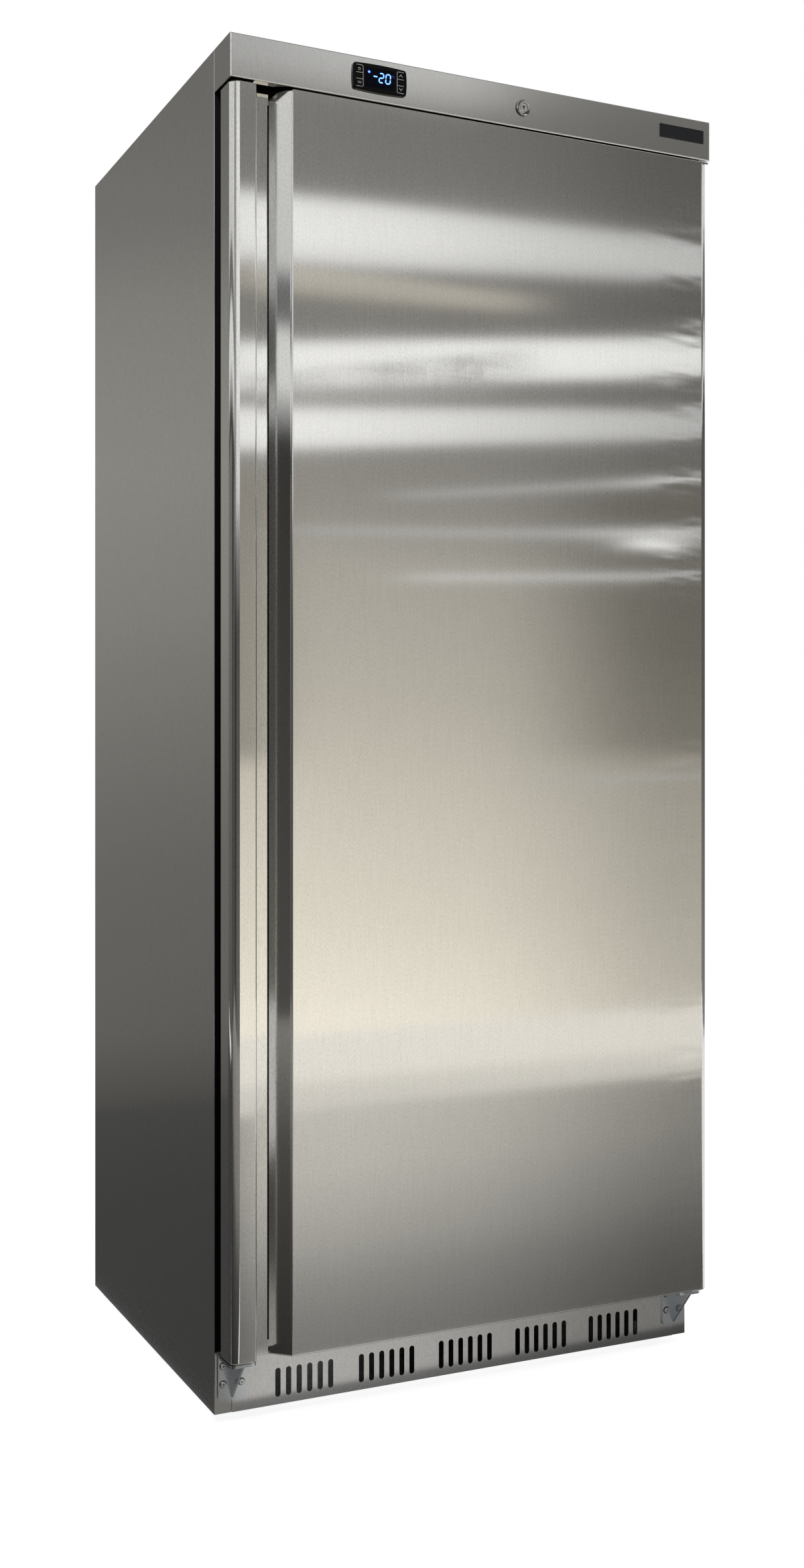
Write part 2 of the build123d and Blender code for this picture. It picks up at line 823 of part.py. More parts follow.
with BuildPart() as door_skin:
    add(door_block(0))
    add(door_block(skin), mode=Mode.SUBTRACT)
    with BuildSketch(front_plane(door_back - skin)):
        with Locations((0, (return_low + return_high) / 2)):
            Rectangle(door_width - 2 * door_return, return_high - return_low)
    extrude(amount=-skin, mode=Mode.SUBTRACT)
    add(fittings, mode=Mode.SUBTRACT)
finish(door_skin, "door_skin")

# ================================================================ inner door panel
bulge_half = opening_half - bulge_gap
bulge_low = cavity_low + bulge_gap
bulge_high = cavity_top - bulge_gap


def bulge(inset):
    """The raised middle of the inner door panel, drawn in by inset, with tapered sides."""
    with BuildPart() as raised:
        with BuildSketch(front_plane(door_back)):
            with Locations((0, (bulge_low + bulge_high) / 2)):
                RectangleRounded(
                    2 * (bulge_half - inset),
                    bulge_high - bulge_low - 2 * inset,
                    bulge_corner - inset,
                )
        extrude(amount=-(bulge_depth - inset), taper=bulge_taper)
    return raised.part


with BuildPart() as door_liner:
    with BuildSketch(front_plane(door_back)):
        with Locations((0, (door_bottom + door_top) / 2)):
            RectangleRounded(
                door_width - 2 * rim_inset, door_top - door_bottom - 2 * rim_inset, rim_corner
            )
    extrude(amount=-liner_sheet)
    add(bulge(0))
    add(bulge(liner_sheet), mode=Mode.SUBTRACT)
finish(door_liner, "door_liner")

with BuildPart() as door_foam:
    add(door_block(skin))
    with BuildSketch(front_plane(door_back - skin)):
        with Locations((0, (return_low + return_high) / 2)):
            Rectangle(door_width - 2 * door_return, return_high - return_low)
    extrude(amount=-skin)
    add(bulge(liner_sheet))
    add(fittings, mode=Mode.SUBTRACT)
finish(door_foam, "door_foam")

# ================================================================ door seal
gasket_depth = cabinet_front - seam - rim_back
gasket_layers = (
    (0, gasket_foot_thickness, gasket_foot),
    (gasket_foot_thickness, gasket_depth - gasket_nose_thickness, gasket_neck),
    (gasket_depth - gasket_nose_thickness, gasket_depth, gasket_nose),
)
seal_width = door_width - 2 * gasket_inset
seal_height = door_top - door_bottom - 2 * gasket_inset
with BuildPart() as door_gasket:
    for layer_front, layer_back, layer_width in gasket_layers:
        with BuildSketch(front_plane(rim_back + layer_front)):
            with Locations((0, (door_bottom + door_top) / 2)):
                Rectangle(seal_width + layer_width, seal_height + layer_width)
                Rectangle(seal_width - layer_width, seal_height - layer_width, mode=Mode.SUBTRACT)
        extrude(amount=-(layer_back - layer_front))
finish(door_gasket, "door_gasket")

with BuildPart() as door_strike:
    with BuildSketch(Plane.XY.offset(door_top)):
        with Locations((strike_x, strike_y)):
            Rectangle(strike_width + 2 * strike_sheet, strike_depth + 2 * strike_sheet)
    extrude(amount=-strike_drop - strike_sheet)
    with BuildSketch(Plane.XY.offset(door_top)):
        with Locations((strike_x, strike_y)):
            Rectangle(strike_width, strike_depth)
    extrude(amount=-strike_drop, mode=Mode.SUBTRACT)
finish(door_strike, "door_strike")

# ================================================================ door pivots


def hinge_bush(z_low):
    """A plain plastic bush in the door that turns on a fixed pin."""
    with BuildPart() as bush:
        with BuildSketch(Plane.XY.offset(z_low)):
            with Locations((hinge_x, hinge_y)):
                Circle(bush_radius)
                Circle(pin_radius + pin_clearance, mode=Mode.SUBTRACT)
        extrude(amount=bush_length)
    return bush


finish(hinge_bush(door_bottom), "hinge_bush_lower")
finish(hinge_bush(door_top - bush_length), "hinge_bush_upper")

with BuildPart() as hinge_pin_lower:
    for z_low, z_high, radius in (
        (lower_leaf_low, door_bottom + pin_engagement, pin_radius),
        (lower_leaf_top, door_bottom - seam, pin_head_radius),
    ):
        with BuildSketch(Plane.XY.offset(z_low)):
            with Locations((hinge_x, hinge_y)):
                Circle(radius)
        extrude(amount=z_high - z_low)
finish(hinge_pin_lower, "hinge_pin_lower")

leaf_low = fascia_low + skin + seam
leaf_top = leaf_low + top_leaf
with BuildPart() as hinge_bracket_top:
    with BuildSketch(front_plane(cabinet_front)):
        with Locations((hinge_x, leaf_low + top_plate_height / 2)):
            Rectangle(bracket_width, top_plate_height)
    extrude(amount=bracket_sheet)
    with BuildSketch(Plane.XY.offset(leaf_low)):
        with Locations((hinge_x, (lower_leaf_front + cabinet_front) / 2)):
            Rectangle(bracket_width, leaf_reach)
        fillet(vertices().group_by(Axis.Y)[0], bracket_corner)
        with Locations((hinge_x, hinge_y)):
            Circle(pin_radius, mode=Mode.SUBTRACT)
    extrude(amount=top_leaf)
finish(hinge_bracket_top, "hinge_bracket_top")

with BuildPart() as hinge_pin_upper:
    for z_low, z_high, radius in (
        (door_top - pin_engagement, leaf_top, pin_radius),
        (leaf_top, leaf_top + pin_head, pin_head_radius),
    ):
        with BuildSketch(Plane.XY.offset(z_low)):
            with Locations((hinge_x, hinge_y)):
                Circle(radius)
        extrude(amount=z_high - z_low)
finish(hinge_pin_upper, "hinge_pin_upper")

# ================================================================ cold shelves
tube_flat = tube_radius * cos(pi / 6)  # tube axis to its flat top and bottom
wire_half = opening_half - shelf_side_gap
pass_pitch = 2 * (wire_half - pass_margin) / (pass_count - 1)
bend_reach = pass_pitch / 2 + tube_radius
bend_front = door_back + bulge_depth + shelf_front_gap
tube_front = bend_front + bend_reach  # straight runs end here, before the bends
riser_y = cavity_back - riser_gap
tube_back = riser_y - tube_radius - bend_gap - bend_reach
wire_front = bend_front + wire_first
wire_back = tube_back + wire_last
wire_pitch = (wire_back - wire_front) / (wire_count - 1)
wire_middle_y = (wire_front + wire_back) / 2
shelf_first = hump_top + shelf_over_step
shelf_pitch = (cavity_top - shelf_headroom - shelf_first) / (shelf_count - 1)
pass_x = [(i - (pass_count - 1) / 2) * pass_pitch for i in range(pass_count)]
shelf_levels = [shelf_first + i * shelf_pitch for i in range(shelf_count)]
wall_end = cavity_back
riser_end = riser_y + tube_radius


def evaporator_shelf(z, left_end, right_end):
    """A shelf of refrigerant tube, bent to and fro, with steel wires across the top."""
    wire_low = z + tube_flat
    with BuildPart() as shelf:
        with BuildLine() as run:
            for i, x in enumerate(pass_x):
                start = left_end if i == 0 else tube_back
                end = right_end if i == pass_count - 1 else tube_back
                heading_front = i % 2 == 0
                if heading_front:
                    Line((x, start, z), (x, tube_front, z))
                else:
                    Line((x, tube_front, z), (x, end, z))
                if i < pass_count - 1:
                    turn_y = tube_front if heading_front else tube_back
                    bulge_y = -pass_pitch / 2 if heading_front else pass_pitch / 2
                    ThreePointArc(
                        (x, turn_y, z),
                        (x + pass_pitch / 2, turn_y + bulge_y, z),
                        (x + pass_pitch, turn_y, z),
                    )
        with BuildSketch(Plane(origin=(pass_x[0], left_end, z), x_dir=(1, 0, 0), z_dir=(0, -1, 0))):
            RegularPolygon(tube_radius, 6)
        sweep(path=run.wires()[0])
        with BuildSketch(Plane.XY.offset(wire_low)):
            with Locations((0, wire_middle_y)):
                with GridLocations(0, wire_pitch, 1, wire_count):
                    Rectangle(2 * wire_half, wire)
                with GridLocations(2 * wire_half - wire, 0, 2, 1):
                    Rectangle(wire, wire_pitch * (wire_count - 1) + wire)
        extrude(amount=wire)
    return shelf


for i, level in enumerate(shelf_levels):
    free_left = i == 0 or (i == shelf_count - 1 and shelf_count % 2 == 0)
    free_right = i == shelf_count - 1 and shelf_count % 2 == 1
    finish(
        evaporator_shelf(
            level,
            wall_end if free_left else riser_end,
            wall_end if free_right else riser_end,
        ),
        f"evaporator_shelf_{i + 1}",
    )

# The shelves are joined in one run by upright tubes, right and left in turn.
with BuildPart() as evaporator_risers:
    for i, level in enumerate(shelf_levels[:-1]):
        riser_x = pass_x[-1] if i % 2 == 0 else pass_x[0]
        with BuildSketch(Plane.XY.offset(level + tube_flat)):
            with Locations((riser_x, riser_y)):
                RegularPolygon(tube_radius, 6)
        extrude(amount=shelf_pitch - 2 * tube_flat)
finish(evaporator_risers, "evaporator_risers")

with BuildPart() as shelf_clips:
    clip_inner = wire_half - clip_overlap
    clip_run = wire_pitch * clip_wire_count
    for level in shelf_levels:
        clip_top = level + tube_flat
        with BuildSketch(Plane.XY.offset(clip_top)):
            with Locations((0, wire_middle_y)):
                with GridLocations(opening_half + clip_inner, clip_run, 2, 2):
                    Rectangle(opening_half - clip_inner, clip_width)
        extrude(amount=-clip_height)
finish(shelf_clips, "shelf_clips")

# ================================================================ fans


def fan_blade(x, y, z, radius):
    """An axial fan on a shaft along Y: pitched blades round a hub whose front face is at y."""
    with BuildPart() as blade:
        with BuildSketch(front_plane(y)):
            with Locations((x, z)):
                Circle(fan_hub_radius)
        extrude(amount=-fan_hub_length)
        pitch = radians(fan_pitch)
        for i in range(fan_blades):
            turn = 2 * pi * i / fan_blades
            outwards = (cos(turn), 0, sin(turn))
            face = (-sin(turn) * sin(pitch), cos(pitch), cos(turn) * sin(pitch))
            middle = (x, y + fan_hub_length / 2, z)
            with BuildSketch(Plane(origin=middle, x_dir=outwards, z_dir=face)):
                with BuildLine():
                    Polyline(
                        (fan_hub_radius - fan_shaft_radius, -fan_root),
                        (radius * fan_tips[0], -radius * fan_chord),
                        (radius * fan_tips[1], radius * fan_chord / 2),
                        (fan_hub_radius - fan_shaft_radius, fan_root),
                        close=True,
                    )
                make_face()
            extrude(amount=fan_blade_sheet / 2, both=True)
        with BuildSketch(front_plane(y + fan_hub_length)):
            with Locations((x, z)):
                Circle(fan_shaft_radius + pin_clearance)
        extrude(amount=fan_hub_length / 2, mode=Mode.SUBTRACT)
    return blade


def fan_motor(x, y, z, length, hub_back):
    """A small round motor whose shaft reaches forwards into the hub's bore."""
    with BuildPart() as motor:
        with BuildSketch(front_plane(y)):
            with Locations((x, z)):
                Circle(motor_radius)
        extrude(amount=-length)
        chamfer(motor.faces().sort_by(Axis.Y)[0].edges(), motor_radius / 8)
        with BuildSketch(front_plane(y)):
            with Locations((x, z)):
                Circle(fan_shaft_radius)
        extrude(amount=y - hub_back + fan_hub_length / 2 - seam)
    return motor


inner_fan_z = cavity_top - inner_fan_drop
inner_fan_front = cavity_back - inner_fan_depth
inner_fan_radius = inner_fan_box / 2 - 2 * inner_fan_sheet - fan_gap
inner_blade_front = inner_fan_front + inner_fan_sheet + fan_gap
inner_hub_back = inner_blade_front + fan_hub_length
inner_motor_front = inner_hub_back + hub_gap
guard_radius = inner_fan_radius + fan_gap

with BuildPart() as inner_fan_housing:
    with BuildSketch(front_plane(inner_fan_front)):
        with Locations((0, inner_fan_z)):
            RectangleRounded(inner_fan_box, inner_fan_box, inner_fan_corner)
            Circle(guard_radius, mode=Mode.SUBTRACT)
            for i in range(guard_rings):
                ring = guard_radius * (i + 0.5) / guard_rings
                Circle(ring + guard_rod / 2)
                Circle(ring - guard_rod / 2, mode=Mode.SUBTRACT)
            with PolarLocations(guard_radius / 2 + guard_rod, guard_spokes):
                Rectangle(guard_radius, guard_rod)
    extrude(amount=-inner_fan_sheet)
    with BuildSketch(front_plane(inner_fan_front)):
        with Locations((0, inner_fan_z)):
            RectangleRounded(inner_fan_box, inner_fan_box, inner_fan_corner)
            RectangleRounded(
                inner_fan_box - 2 * inner_fan_sheet,
                inner_fan_box - 2 * inner_fan_sheet,
                inner_fan_corner - inner_fan_sheet,
                mode=Mode.SUBTRACT,
            )
    extrude(amount=-inner_fan_depth)
finish(inner_fan_housing, "inner_fan_housing")
finish(fan_blade(0, inner_blade_front, inner_fan_z, inner_fan_radius), "inner_fan_blade")
finish(
    fan_motor(
        0, inner_motor_front, inner_fan_z, cavity_back - inner_motor_front, inner_hub_back
    ),
    "inner_fan_motor",
)

# ================================================================ compressor
compressor_x = left + compressor_edge
compressor_y = (machine_front + foam_back) / 2
plate_x, plate_y, plate_z = mount_plate
plate_low = base_top + mount_height
shell_low = plate_low + plate_z
shell_top = shell_low + compressor_height
shell_side = compressor_x + compressor_radius
seam_z = shell_low + compressor_height / 2
suction_z = seam_z - stub_drop

with BuildPart() as compressor:
    with BuildSketch(front_plane(compressor_y)):
        with BuildLine():
            FilletPolyline(
                (compressor_x, shell_low),
                (shell_side, shell_low),
                (shell_side, seam_z),
                (shell_side + compressor_seam, seam_z),
                (shell_side + compressor_seam, seam_z + compressor_seam),
                (shell_side, seam_z + compressor_seam),
                (shell_side, shell_top),
                (compressor_x, shell_top),
                radius=[0, compressor_radius / 4, 0, 0, 0, 0, compressor_radius / 2, 0],
                close=True,
            )
        make_face()
    revolve(axis=Axis((compressor_x, compressor_y, 0), (0, 0, 1)))
    with BuildSketch(Plane.XY.offset(plate_low)):
        with Locations((compressor_x, compressor_y)):
            RectangleRounded(plate_x, plate_y, mount_radius)
            with GridLocations(*mount_span, 2, 2):
                Circle(screw_radius + screw_clearance, mode=Mode.SUBTRACT)
    extrude(amount=plate_z)
    with BuildSketch(Plane.YZ.offset(compressor_x)):
        with Locations((compressor_y, suction_z)):
            Circle(stub_radius)
    extrude(amount=compressor_radius + stub_length)
    with BuildSketch(Plane.XY.offset(seam_z)):
        with Locations((compressor_x, compressor_y)):
            Circle(stub_radius)
    extrude(amount=shell_top - seam_z + stub_length)
finish(compressor, "compressor")

with BuildPart() as compressor_mounts:
    for z_low, z_high, radius in (
        (base_top, plate_low, mount_radius),
        (plate_low, shell_low, screw_radius),
        (shell_low, shell_low + screw_head, screw_head_radius),
    ):
        with BuildSketch(Plane.XY.offset(z_low)):
            with Locations((compressor_x, compressor_y)):
                with GridLocations(*mount_span, 2, 2):
                    Circle(radius)
        extrude(amount=z_high - z_low)
finish(compressor_mounts, "compressor_mounts")

with BuildPart() as compressor_terminals:
    box_x, box_y, box_z = terminal_box
    with BuildSketch(Plane.XY.offset(shell_low + terminal_rise)):
        with Locations((compressor_x - compressor_radius, compressor_y)):
            RectangleRounded(2 * box_x, box_y, screw_head_radius)
        with Locations((compressor_x, compressor_y)):
            Circle(compressor_radius, mode=Mode.SUBTRACT)
    extrude(amount=box_z)
finish(compressor_terminals, "compressor_terminals")

# ================================================================ condenser
condenser_x = -left - condenser_edge
condenser_left = condenser_x - condenser_width / 2
condenser_front = machine_front + condenser_gap
condenser_back = condenser_front + condenser_core
condenser_z = base_top + condenser_height / 2
fin_pitch = (condenser_width - 2 * condenser_frame) / condenser_fins
with BuildPart() as condenser:
    with BuildSketch(front_plane(condenser_front)):
        with Locations((condenser_x, condenser_z)):
            Rectangle(condenser_width, condenser_height)
    extrude(amount=-condenser_core)
    for groove_front in (condenser_front, condenser_back - condenser_groove):
        with BuildSketch(front_plane(groove_front)):
            with Locations((condenser_x, condenser_z)):
                with GridLocations(fin_pitch, 0, condenser_fins, 1):
                    Rectangle(fin_pitch / 2, condenser_height - 2 * condenser_frame)
        extrude(amount=-condenser_groove, mode=Mode.SUBTRACT)
finish(condenser, "condenser")

shroud_back = condenser_back + shroud_depth
shroud_radius = condenser_fan_radius + fan_gap
condenser_blade_front = condenser_back + (shroud_depth - fan_hub_length) / 2
condenser_hub_back = condenser_blade_front + fan_hub_length
condenser_motor_front = shroud_back + bracket_sheet
with BuildPart() as condenser_fan_shroud:
    with BuildSketch(front_plane(condenser_back)):
        with Locations((condenser_x, condenser_z)):
            Rectangle(condenser_width, condenser_height)
            Circle(shroud_radius, mode=Mode.SUBTRACT)
    extrude(amount=-shroud_depth)
    with BuildSketch(front_plane(shroud_back)):
        with Locations((condenser_x, condenser_z)):
            Circle(motor_radius)
            with PolarLocations(shroud_radius / 2 + fan_gap, guard_spokes):
                Rectangle(shroud_radius, motor_arm)
            Circle(motor_radius / 2, mode=Mode.SUBTRACT)
    extrude(amount=-bracket_sheet)
finish(condenser_fan_shroud, "condenser_fan_shroud")
finish(
    fan_blade(condenser_x, condenser_blade_front, condenser_z, condenser_fan_radius),
    "condenser_fan_blade",
)
finish(
    fan_motor(
        condenser_x,
        condenser_motor_front,
        condenser_z,
        condenser_motor_length,
        condenser_hub_back,
    ),
    "condenser_fan_motor",
)

# ================================================================ drier and pipes
drier_x = condenser_left - 2 * pipe_bend
drier_y = (condenser_front + condenser_back) / 2
liquid_z = base_top + liquid_rise
drier_low = liquid_z + 2 * pipe_bend
drier_top = drier_low + drier_length
with BuildPart() as filter_drier:
    with BuildSketch(Plane.XY.offset(drier_low)):
        with Locations((drier_x, drier_y)):
            Circle(drier_radius)
    extrude(amount=drier_length)
    fillet(filter_drier.edges().filter_by(GeomType.CIRCLE), drier_radius / 3)
finish(filter_drier, "filter_drier")

suction_end = shell_side + stub_length
suction_turn = suction_end + 2 * pipe_bend
suction_back = foam_back - 2 * pipe_bend
discharge_low = shell_top + stub_length
condenser_top = base_top + condenser_height
discharge_top = max(discharge_low, condenser_top) + discharge_rise
discharge_x = condenser_left + stub_length
pipe_runs = (
    (
        pipe_radius,
        [
            (compressor_x, compressor_y, discharge_low),
            (compressor_x, compressor_y, discharge_top),
            (discharge_x, compressor_y, discharge_top),
            (discharge_x, drier_y, discharge_top),
            (discharge_x, drier_y, condenser_top),
        ],
    ),
    (
        pipe_radius,
        [
            (condenser_left, drier_y, liquid_z),
            (drier_x, drier_y, liquid_z),
            (drier_x, drier_y, drier_low),
        ],
    ),
    (
        suction_radius,
        [
            (suction_end, compressor_y, suction_z),
            (suction_turn, compressor_y, suction_z),
            (suction_turn, suction_back, suction_z + 3 * pipe_bend),
            (suction_turn, suction_back, machine_top),
        ],
    ),
)
with BuildPart() as refrigerant_pipes:
    with BuildSketch(Plane.XY.offset(drier_top)):
        with Locations((drier_x, drier_y)):
            Circle(capillary_radius)
    extrude(amount=machine_top - drier_top)
    for radius, points in pipe_runs:
        with BuildLine() as run:
            FilletPolyline(*points, radius=pipe_bend)
        with BuildSketch(Plane(origin=run.line @ 0, z_dir=run.line % 0)):
            Circle(radius)
        sweep(path=run.wires()[0])
finish(refrigerant_pipes, "refrigerant_pipes")

# ================================================================ rear cover
gland_x = left + gland_edge
gland_z = base + gland_rise
with BuildPart() as rear_cover:
    cover_low = base_top + seam
    cover_top = machine_top + skin - seam
    with BuildSketch(front_plane(foam_back)):
        with Locations((0, (cover_low + cover_top) / 2)):
            Rectangle(2 * (half_inside - bend), cover_top - cover_low)
            with GridLocations(louvre_column_pitch, louvre_pitch, louvre_columns, louvre_rows):
                Rectangle(louvre_width, louvre_height, mode=Mode.SUBTRACT)
        with Locations((gland_x, gland_z)):
            Circle(gland_radius + seam, mode=Mode.SUBTRACT)
    extrude(amount=-skin)
finish(rear_cover, "rear_cover")

with BuildPart() as cable_gland:
    for gland_front, gland_back, radius in (
        (foam_back - gland_length, back, gland_radius),
        (foam_back - gland_flange_thickness, foam_back, gland_flange),
    ):
        with BuildSketch(front_plane(gland_front)):
            with Locations((gland_x, gland_z)):
                Circle(radius)
        extrude(amount=gland_front - gland_back)
    with BuildSketch(front_plane(foam_back - gland_length)):
        with Locations((gland_x, gland_z)):
            Circle(gland_bore)
    extrude(amount=foam_back - gland_length - back, mode=Mode.SUBTRACT)
finish(cable_gland, "cable_gland")
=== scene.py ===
import math

import bmesh
import bpy
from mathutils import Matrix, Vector


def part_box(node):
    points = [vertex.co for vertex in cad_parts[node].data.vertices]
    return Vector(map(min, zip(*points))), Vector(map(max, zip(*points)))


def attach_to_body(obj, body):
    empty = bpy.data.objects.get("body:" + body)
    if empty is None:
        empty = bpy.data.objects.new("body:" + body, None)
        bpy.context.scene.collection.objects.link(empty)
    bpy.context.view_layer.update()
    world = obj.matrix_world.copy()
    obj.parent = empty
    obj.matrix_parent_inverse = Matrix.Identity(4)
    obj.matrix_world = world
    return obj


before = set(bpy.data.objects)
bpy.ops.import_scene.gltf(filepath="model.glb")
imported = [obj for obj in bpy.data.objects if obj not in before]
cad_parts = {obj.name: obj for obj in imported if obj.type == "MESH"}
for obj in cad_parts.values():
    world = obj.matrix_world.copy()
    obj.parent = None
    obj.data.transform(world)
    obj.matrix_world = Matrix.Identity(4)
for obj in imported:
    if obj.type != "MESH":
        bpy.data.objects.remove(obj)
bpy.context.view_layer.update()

scene = bpy.context.scene
link = scene.collection.objects.link
MM = 0.001

# ---------------------------------------------------------------- camera
# The photograph is 1200 by 2340 pixels; the lens and its shift follow its vanishing lines.
PHOTO_HEIGHT = 2340.0  # pixels, like the focal length and the shift
FOCAL_LENGTH = 2534.28
SHIFT = (-4.0, -50.3)
SENSOR = 36.0
camera = bpy.data.cameras.new("camera")
camera.sensor_fit = "VERTICAL"
camera.sensor_height = SENSOR
camera.lens = SENSOR * FOCAL_LENGTH / PHOTO_HEIGHT
camera.shift_x = SHIFT[0] / PHOTO_HEIGHT
camera.shift_y = SHIFT[1] / PHOTO_HEIGHT
camera.clip_end = 60.0
camera_object = bpy.data.objects.new("camera", camera)
camera_object.location = (-1.14856, -2.50785, 0.93036)
camera_object.rotation_euler = (math.radians(90.0), 0.0, math.radians(-25.244))
link(camera_object)
scene.camera = camera_object
scene.view_settings.view_transform = "Standard"


# ---------------------------------------------------------------- node materials
class Shade:
    """Builds one node material round a Principled shader, in the object's own metres."""

    def __init__(self, name, **sockets):
        self.mat = bpy.data.materials.new(name)
        self.mat.use_nodes = True
        self.tree = self.mat.node_tree
        self.bsdf = self.tree.nodes["Principled BSDF"]
        self.output = self.tree.nodes["Material Output"]
        self.where = self.node("ShaderNodeTexCoord").outputs["Object"]
        for socket, value in sockets.items():
            self.bsdf.inputs[socket.replace("_", " ")].default_value = value

    def node(self, kind, **settings):
        made = self.tree.nodes.new(kind)
        for key, value in settings.items():
            setattr(made, key, value)
        return made

    def join(self, value, socket):
        if isinstance(value, bpy.types.NodeSocket):
            self.tree.links.new(value, socket)
        else:
            socket.default_value = value

    def place(self, scale, shift=(0.0, 0.0, 0.0)):
        made = self.node("ShaderNodeMapping")
        made.inputs["Scale"].default_value = scale if isinstance(scale, tuple) else (scale,) * 3
        made.inputs["Location"].default_value = shift
        self.join(self.where, made.inputs["Vector"])
        return made.outputs[0]

    def noise(self, scale, detail=3.0, rough=0.5, shift=0.0, twist=0.0):
        grain = self.node("ShaderNodeTexNoise")
        grain.inputs["Scale"].default_value = 1.0
        grain.inputs["Detail"].default_value = detail
        grain.inputs["Roughness"].default_value = rough
        grain.inputs["Distortion"].default_value = twist
        self.join(self.place(scale, (shift, shift * 0.7, shift * 1.3)), grain.inputs["Vector"])
        return grain.outputs["Fac"]

    def cells(self, scale, output="Distance"):
        cell = self.node("ShaderNodeTexVoronoi")
        cell.inputs["Scale"].default_value = 1.0
        self.join(self.place(scale), cell.inputs["Vector"])
        return cell.outputs[output]

    def axis(self, index, vector=None):
        split = self.node("ShaderNodeSeparateXYZ")
        self.join(vector or self.where, split.inputs[0])
        return split.outputs[index]

    def math(self, operation, a, b=0.0, clamp=False):
        made = self.node("ShaderNodeMath", operation=operation, use_clamp=clamp)
        self.join(a, made.inputs[0])
        self.join(b, made.inputs[1])
        return made.outputs[0]

    def span(self, value, low, high, to_low=0.0, to_high=1.0):
        made = self.node("ShaderNodeMapRange", interpolation_type="SMOOTHSTEP")
        self.join(value, made.inputs["Value"])
        for key, number in (("From Min", low), ("From Max", high), ("To Min", to_low), ("To Max", to_high)):
            made.inputs[key].default_value = number
        return made.outputs["Result"]

    def ramp(self, value, *stops):
        made = self.node("ShaderNodeValToRGB")
        band = made.color_ramp
        while len(band.elements) < len(stops):
            band.elements.new(0.5)
        for element, (place, colour) in zip(band.elements, stops):
            element.position = place
            element.color = (*colour, 1.0) if isinstance(colour, tuple) else (colour, colour, colour, 1.0)
        self.join(value, made.inputs["Fac"])
        return made.outputs["Color"]

    def mix(self, factor, a, b, blend="MIX"):
        made = self.node("ShaderNodeMix", data_type="RGBA", blend_type=blend)
        self.join(factor, made.inputs["Factor"])
        for index, value in ((6, a), (7, b)):
            self.join((*value, 1.0) if isinstance(value, tuple) else value, made.inputs[index])
        return made.outputs[2]

    def bump(self, height, distance, under=None):
        made = self.node("ShaderNodeBump")
        made.inputs["Strength"].default_value = 1.0
        made.inputs["Distance"].default_value = distance
        self.join(height, made.inputs["Height"])
        if under is not None:
            self.join(under, made.inputs["Normal"])
        return made.outputs["Normal"]

    def finish(self, colour=None, rough=None, normal=None):
        for value, socket in ((colour, "Base Color"), (rough, "Roughness"), (normal, "Normal")):
            if value is not None:
                self.join((*value, 1.0) if isinstance(value, tuple) else value, self.bsdf.inputs[socket])
        return self.mat


def steel(name, base, rough, wave=0.0005, streak=1.0, along="Z", aniso=0.8, edge=0.0, seal=False):
    """Stainless sheet with fine short scratches along the sheet, mirror-like across them."""
    s = Shade(name, Metallic=1.0, Anisotropic=aniso)
    tangent = s.node("ShaderNodeTangent", direction_type="RADIAL", axis="Z" if along == "Z" else "Y")
    s.join(tangent.outputs[0], s.bsdf.inputs["Tangent"])
    fine = (1100.0, 1100.0, 260.0) if along == "Z" else (1100.0, 260.0, 1100.0)
    long = (500.0, 500.0, 30.0) if along == "Z" else (500.0, 30.0, 500.0)
    scratch = s.noise(fine, detail=2.0, rough=0.6)
    line = s.noise(long, detail=2.0, rough=0.5, shift=3.0)
    cloud = s.noise(4.5, detail=3.0, shift=7.0)
    grain = s.math("ADD", s.math("MULTIPLY", scratch, 0.8), s.math("MULTIPLY", line, 0.2))
    dark = tuple(c * (1.0 - 0.17 * streak) for c in base)
    light = tuple(min(1.0, c * (1.0 + 0.12 * streak)) for c in base)
    colour = s.ramp(grain, (0.3, dark), (0.5, base), (0.72, light))
    roughness = s.math("ADD", s.math("MULTIPLY", grain, 0.03), s.math("MULTIPLY", cloud, 0.03))
    roughness = s.math("ADD", roughness, rough - 0.03)
    sheet = s.noise((1.6, 1.6, 2.3), detail=1.5, rough=0.35, shift=11.0)
    normal = s.bump(sheet, wave)
    if edge:  # the sheet is less flat toward the hinge side, where it is folded and fixed
        ripple = s.noise((6.0, 6.0, 24.0), detail=2.0, rough=0.4, shift=5.0)
        near = s.span(s.axis(0), 0.24, 0.385)
        normal = s.bump(s.math("MULTIPLY", ripple, near), edge, under=normal)
    normal = s.bump(grain, 0.000002 * streak, under=normal)
    if seal:  # painted shade: a dark strip on the turned front edge, standing for the shade in the gap where the door's gasket closes
        in_front = s.span(s.axis(1), -0.2809, -0.2803, 1.0, 0.0)
        above_base = s.span(s.axis(2), 0.098, 0.102)
        strip = s.math("MULTIPLY", in_front, above_base)
        colour = s.mix(strip, colour, (0.012, 0.012, 0.012))
        roughness = s.math("ADD", roughness, s.math("MULTIPLY", strip, 0.4))
    return s.finish(colour, roughness, normal)


def zinc(name, base, rough=0.36, spangle=90.0, contrast=1.0):
    """Galvanised or zinc-plated sheet: crystal patches that differ a little in tone and gloss."""
    s = Shade(name, Metallic=1.0)
    patch = s.axis(0, s.cells(spangle, "Color"))
    cloud = s.noise(14.0, detail=4.0)
    tone = s.math("ADD", s.math("MULTIPLY", patch, 0.55), s.math("MULTIPLY", cloud, 0.45))
    dark = tuple(c * (1.0 - 0.22 * contrast) for c in base)
    light = tuple(min(1.0, c * (1.0 + 0.14 * contrast)) for c in base)
    colour = s.ramp(tone, (0.2, dark), (0.55, base), (0.85, light))
    roughness = s.math("ADD", s.math("MULTIPLY", tone, 0.16), rough - 0.08)
    normal = s.bump(s.noise(350.0, detail=2.0), 0.00002)
    return s.finish(colour, roughness, normal)


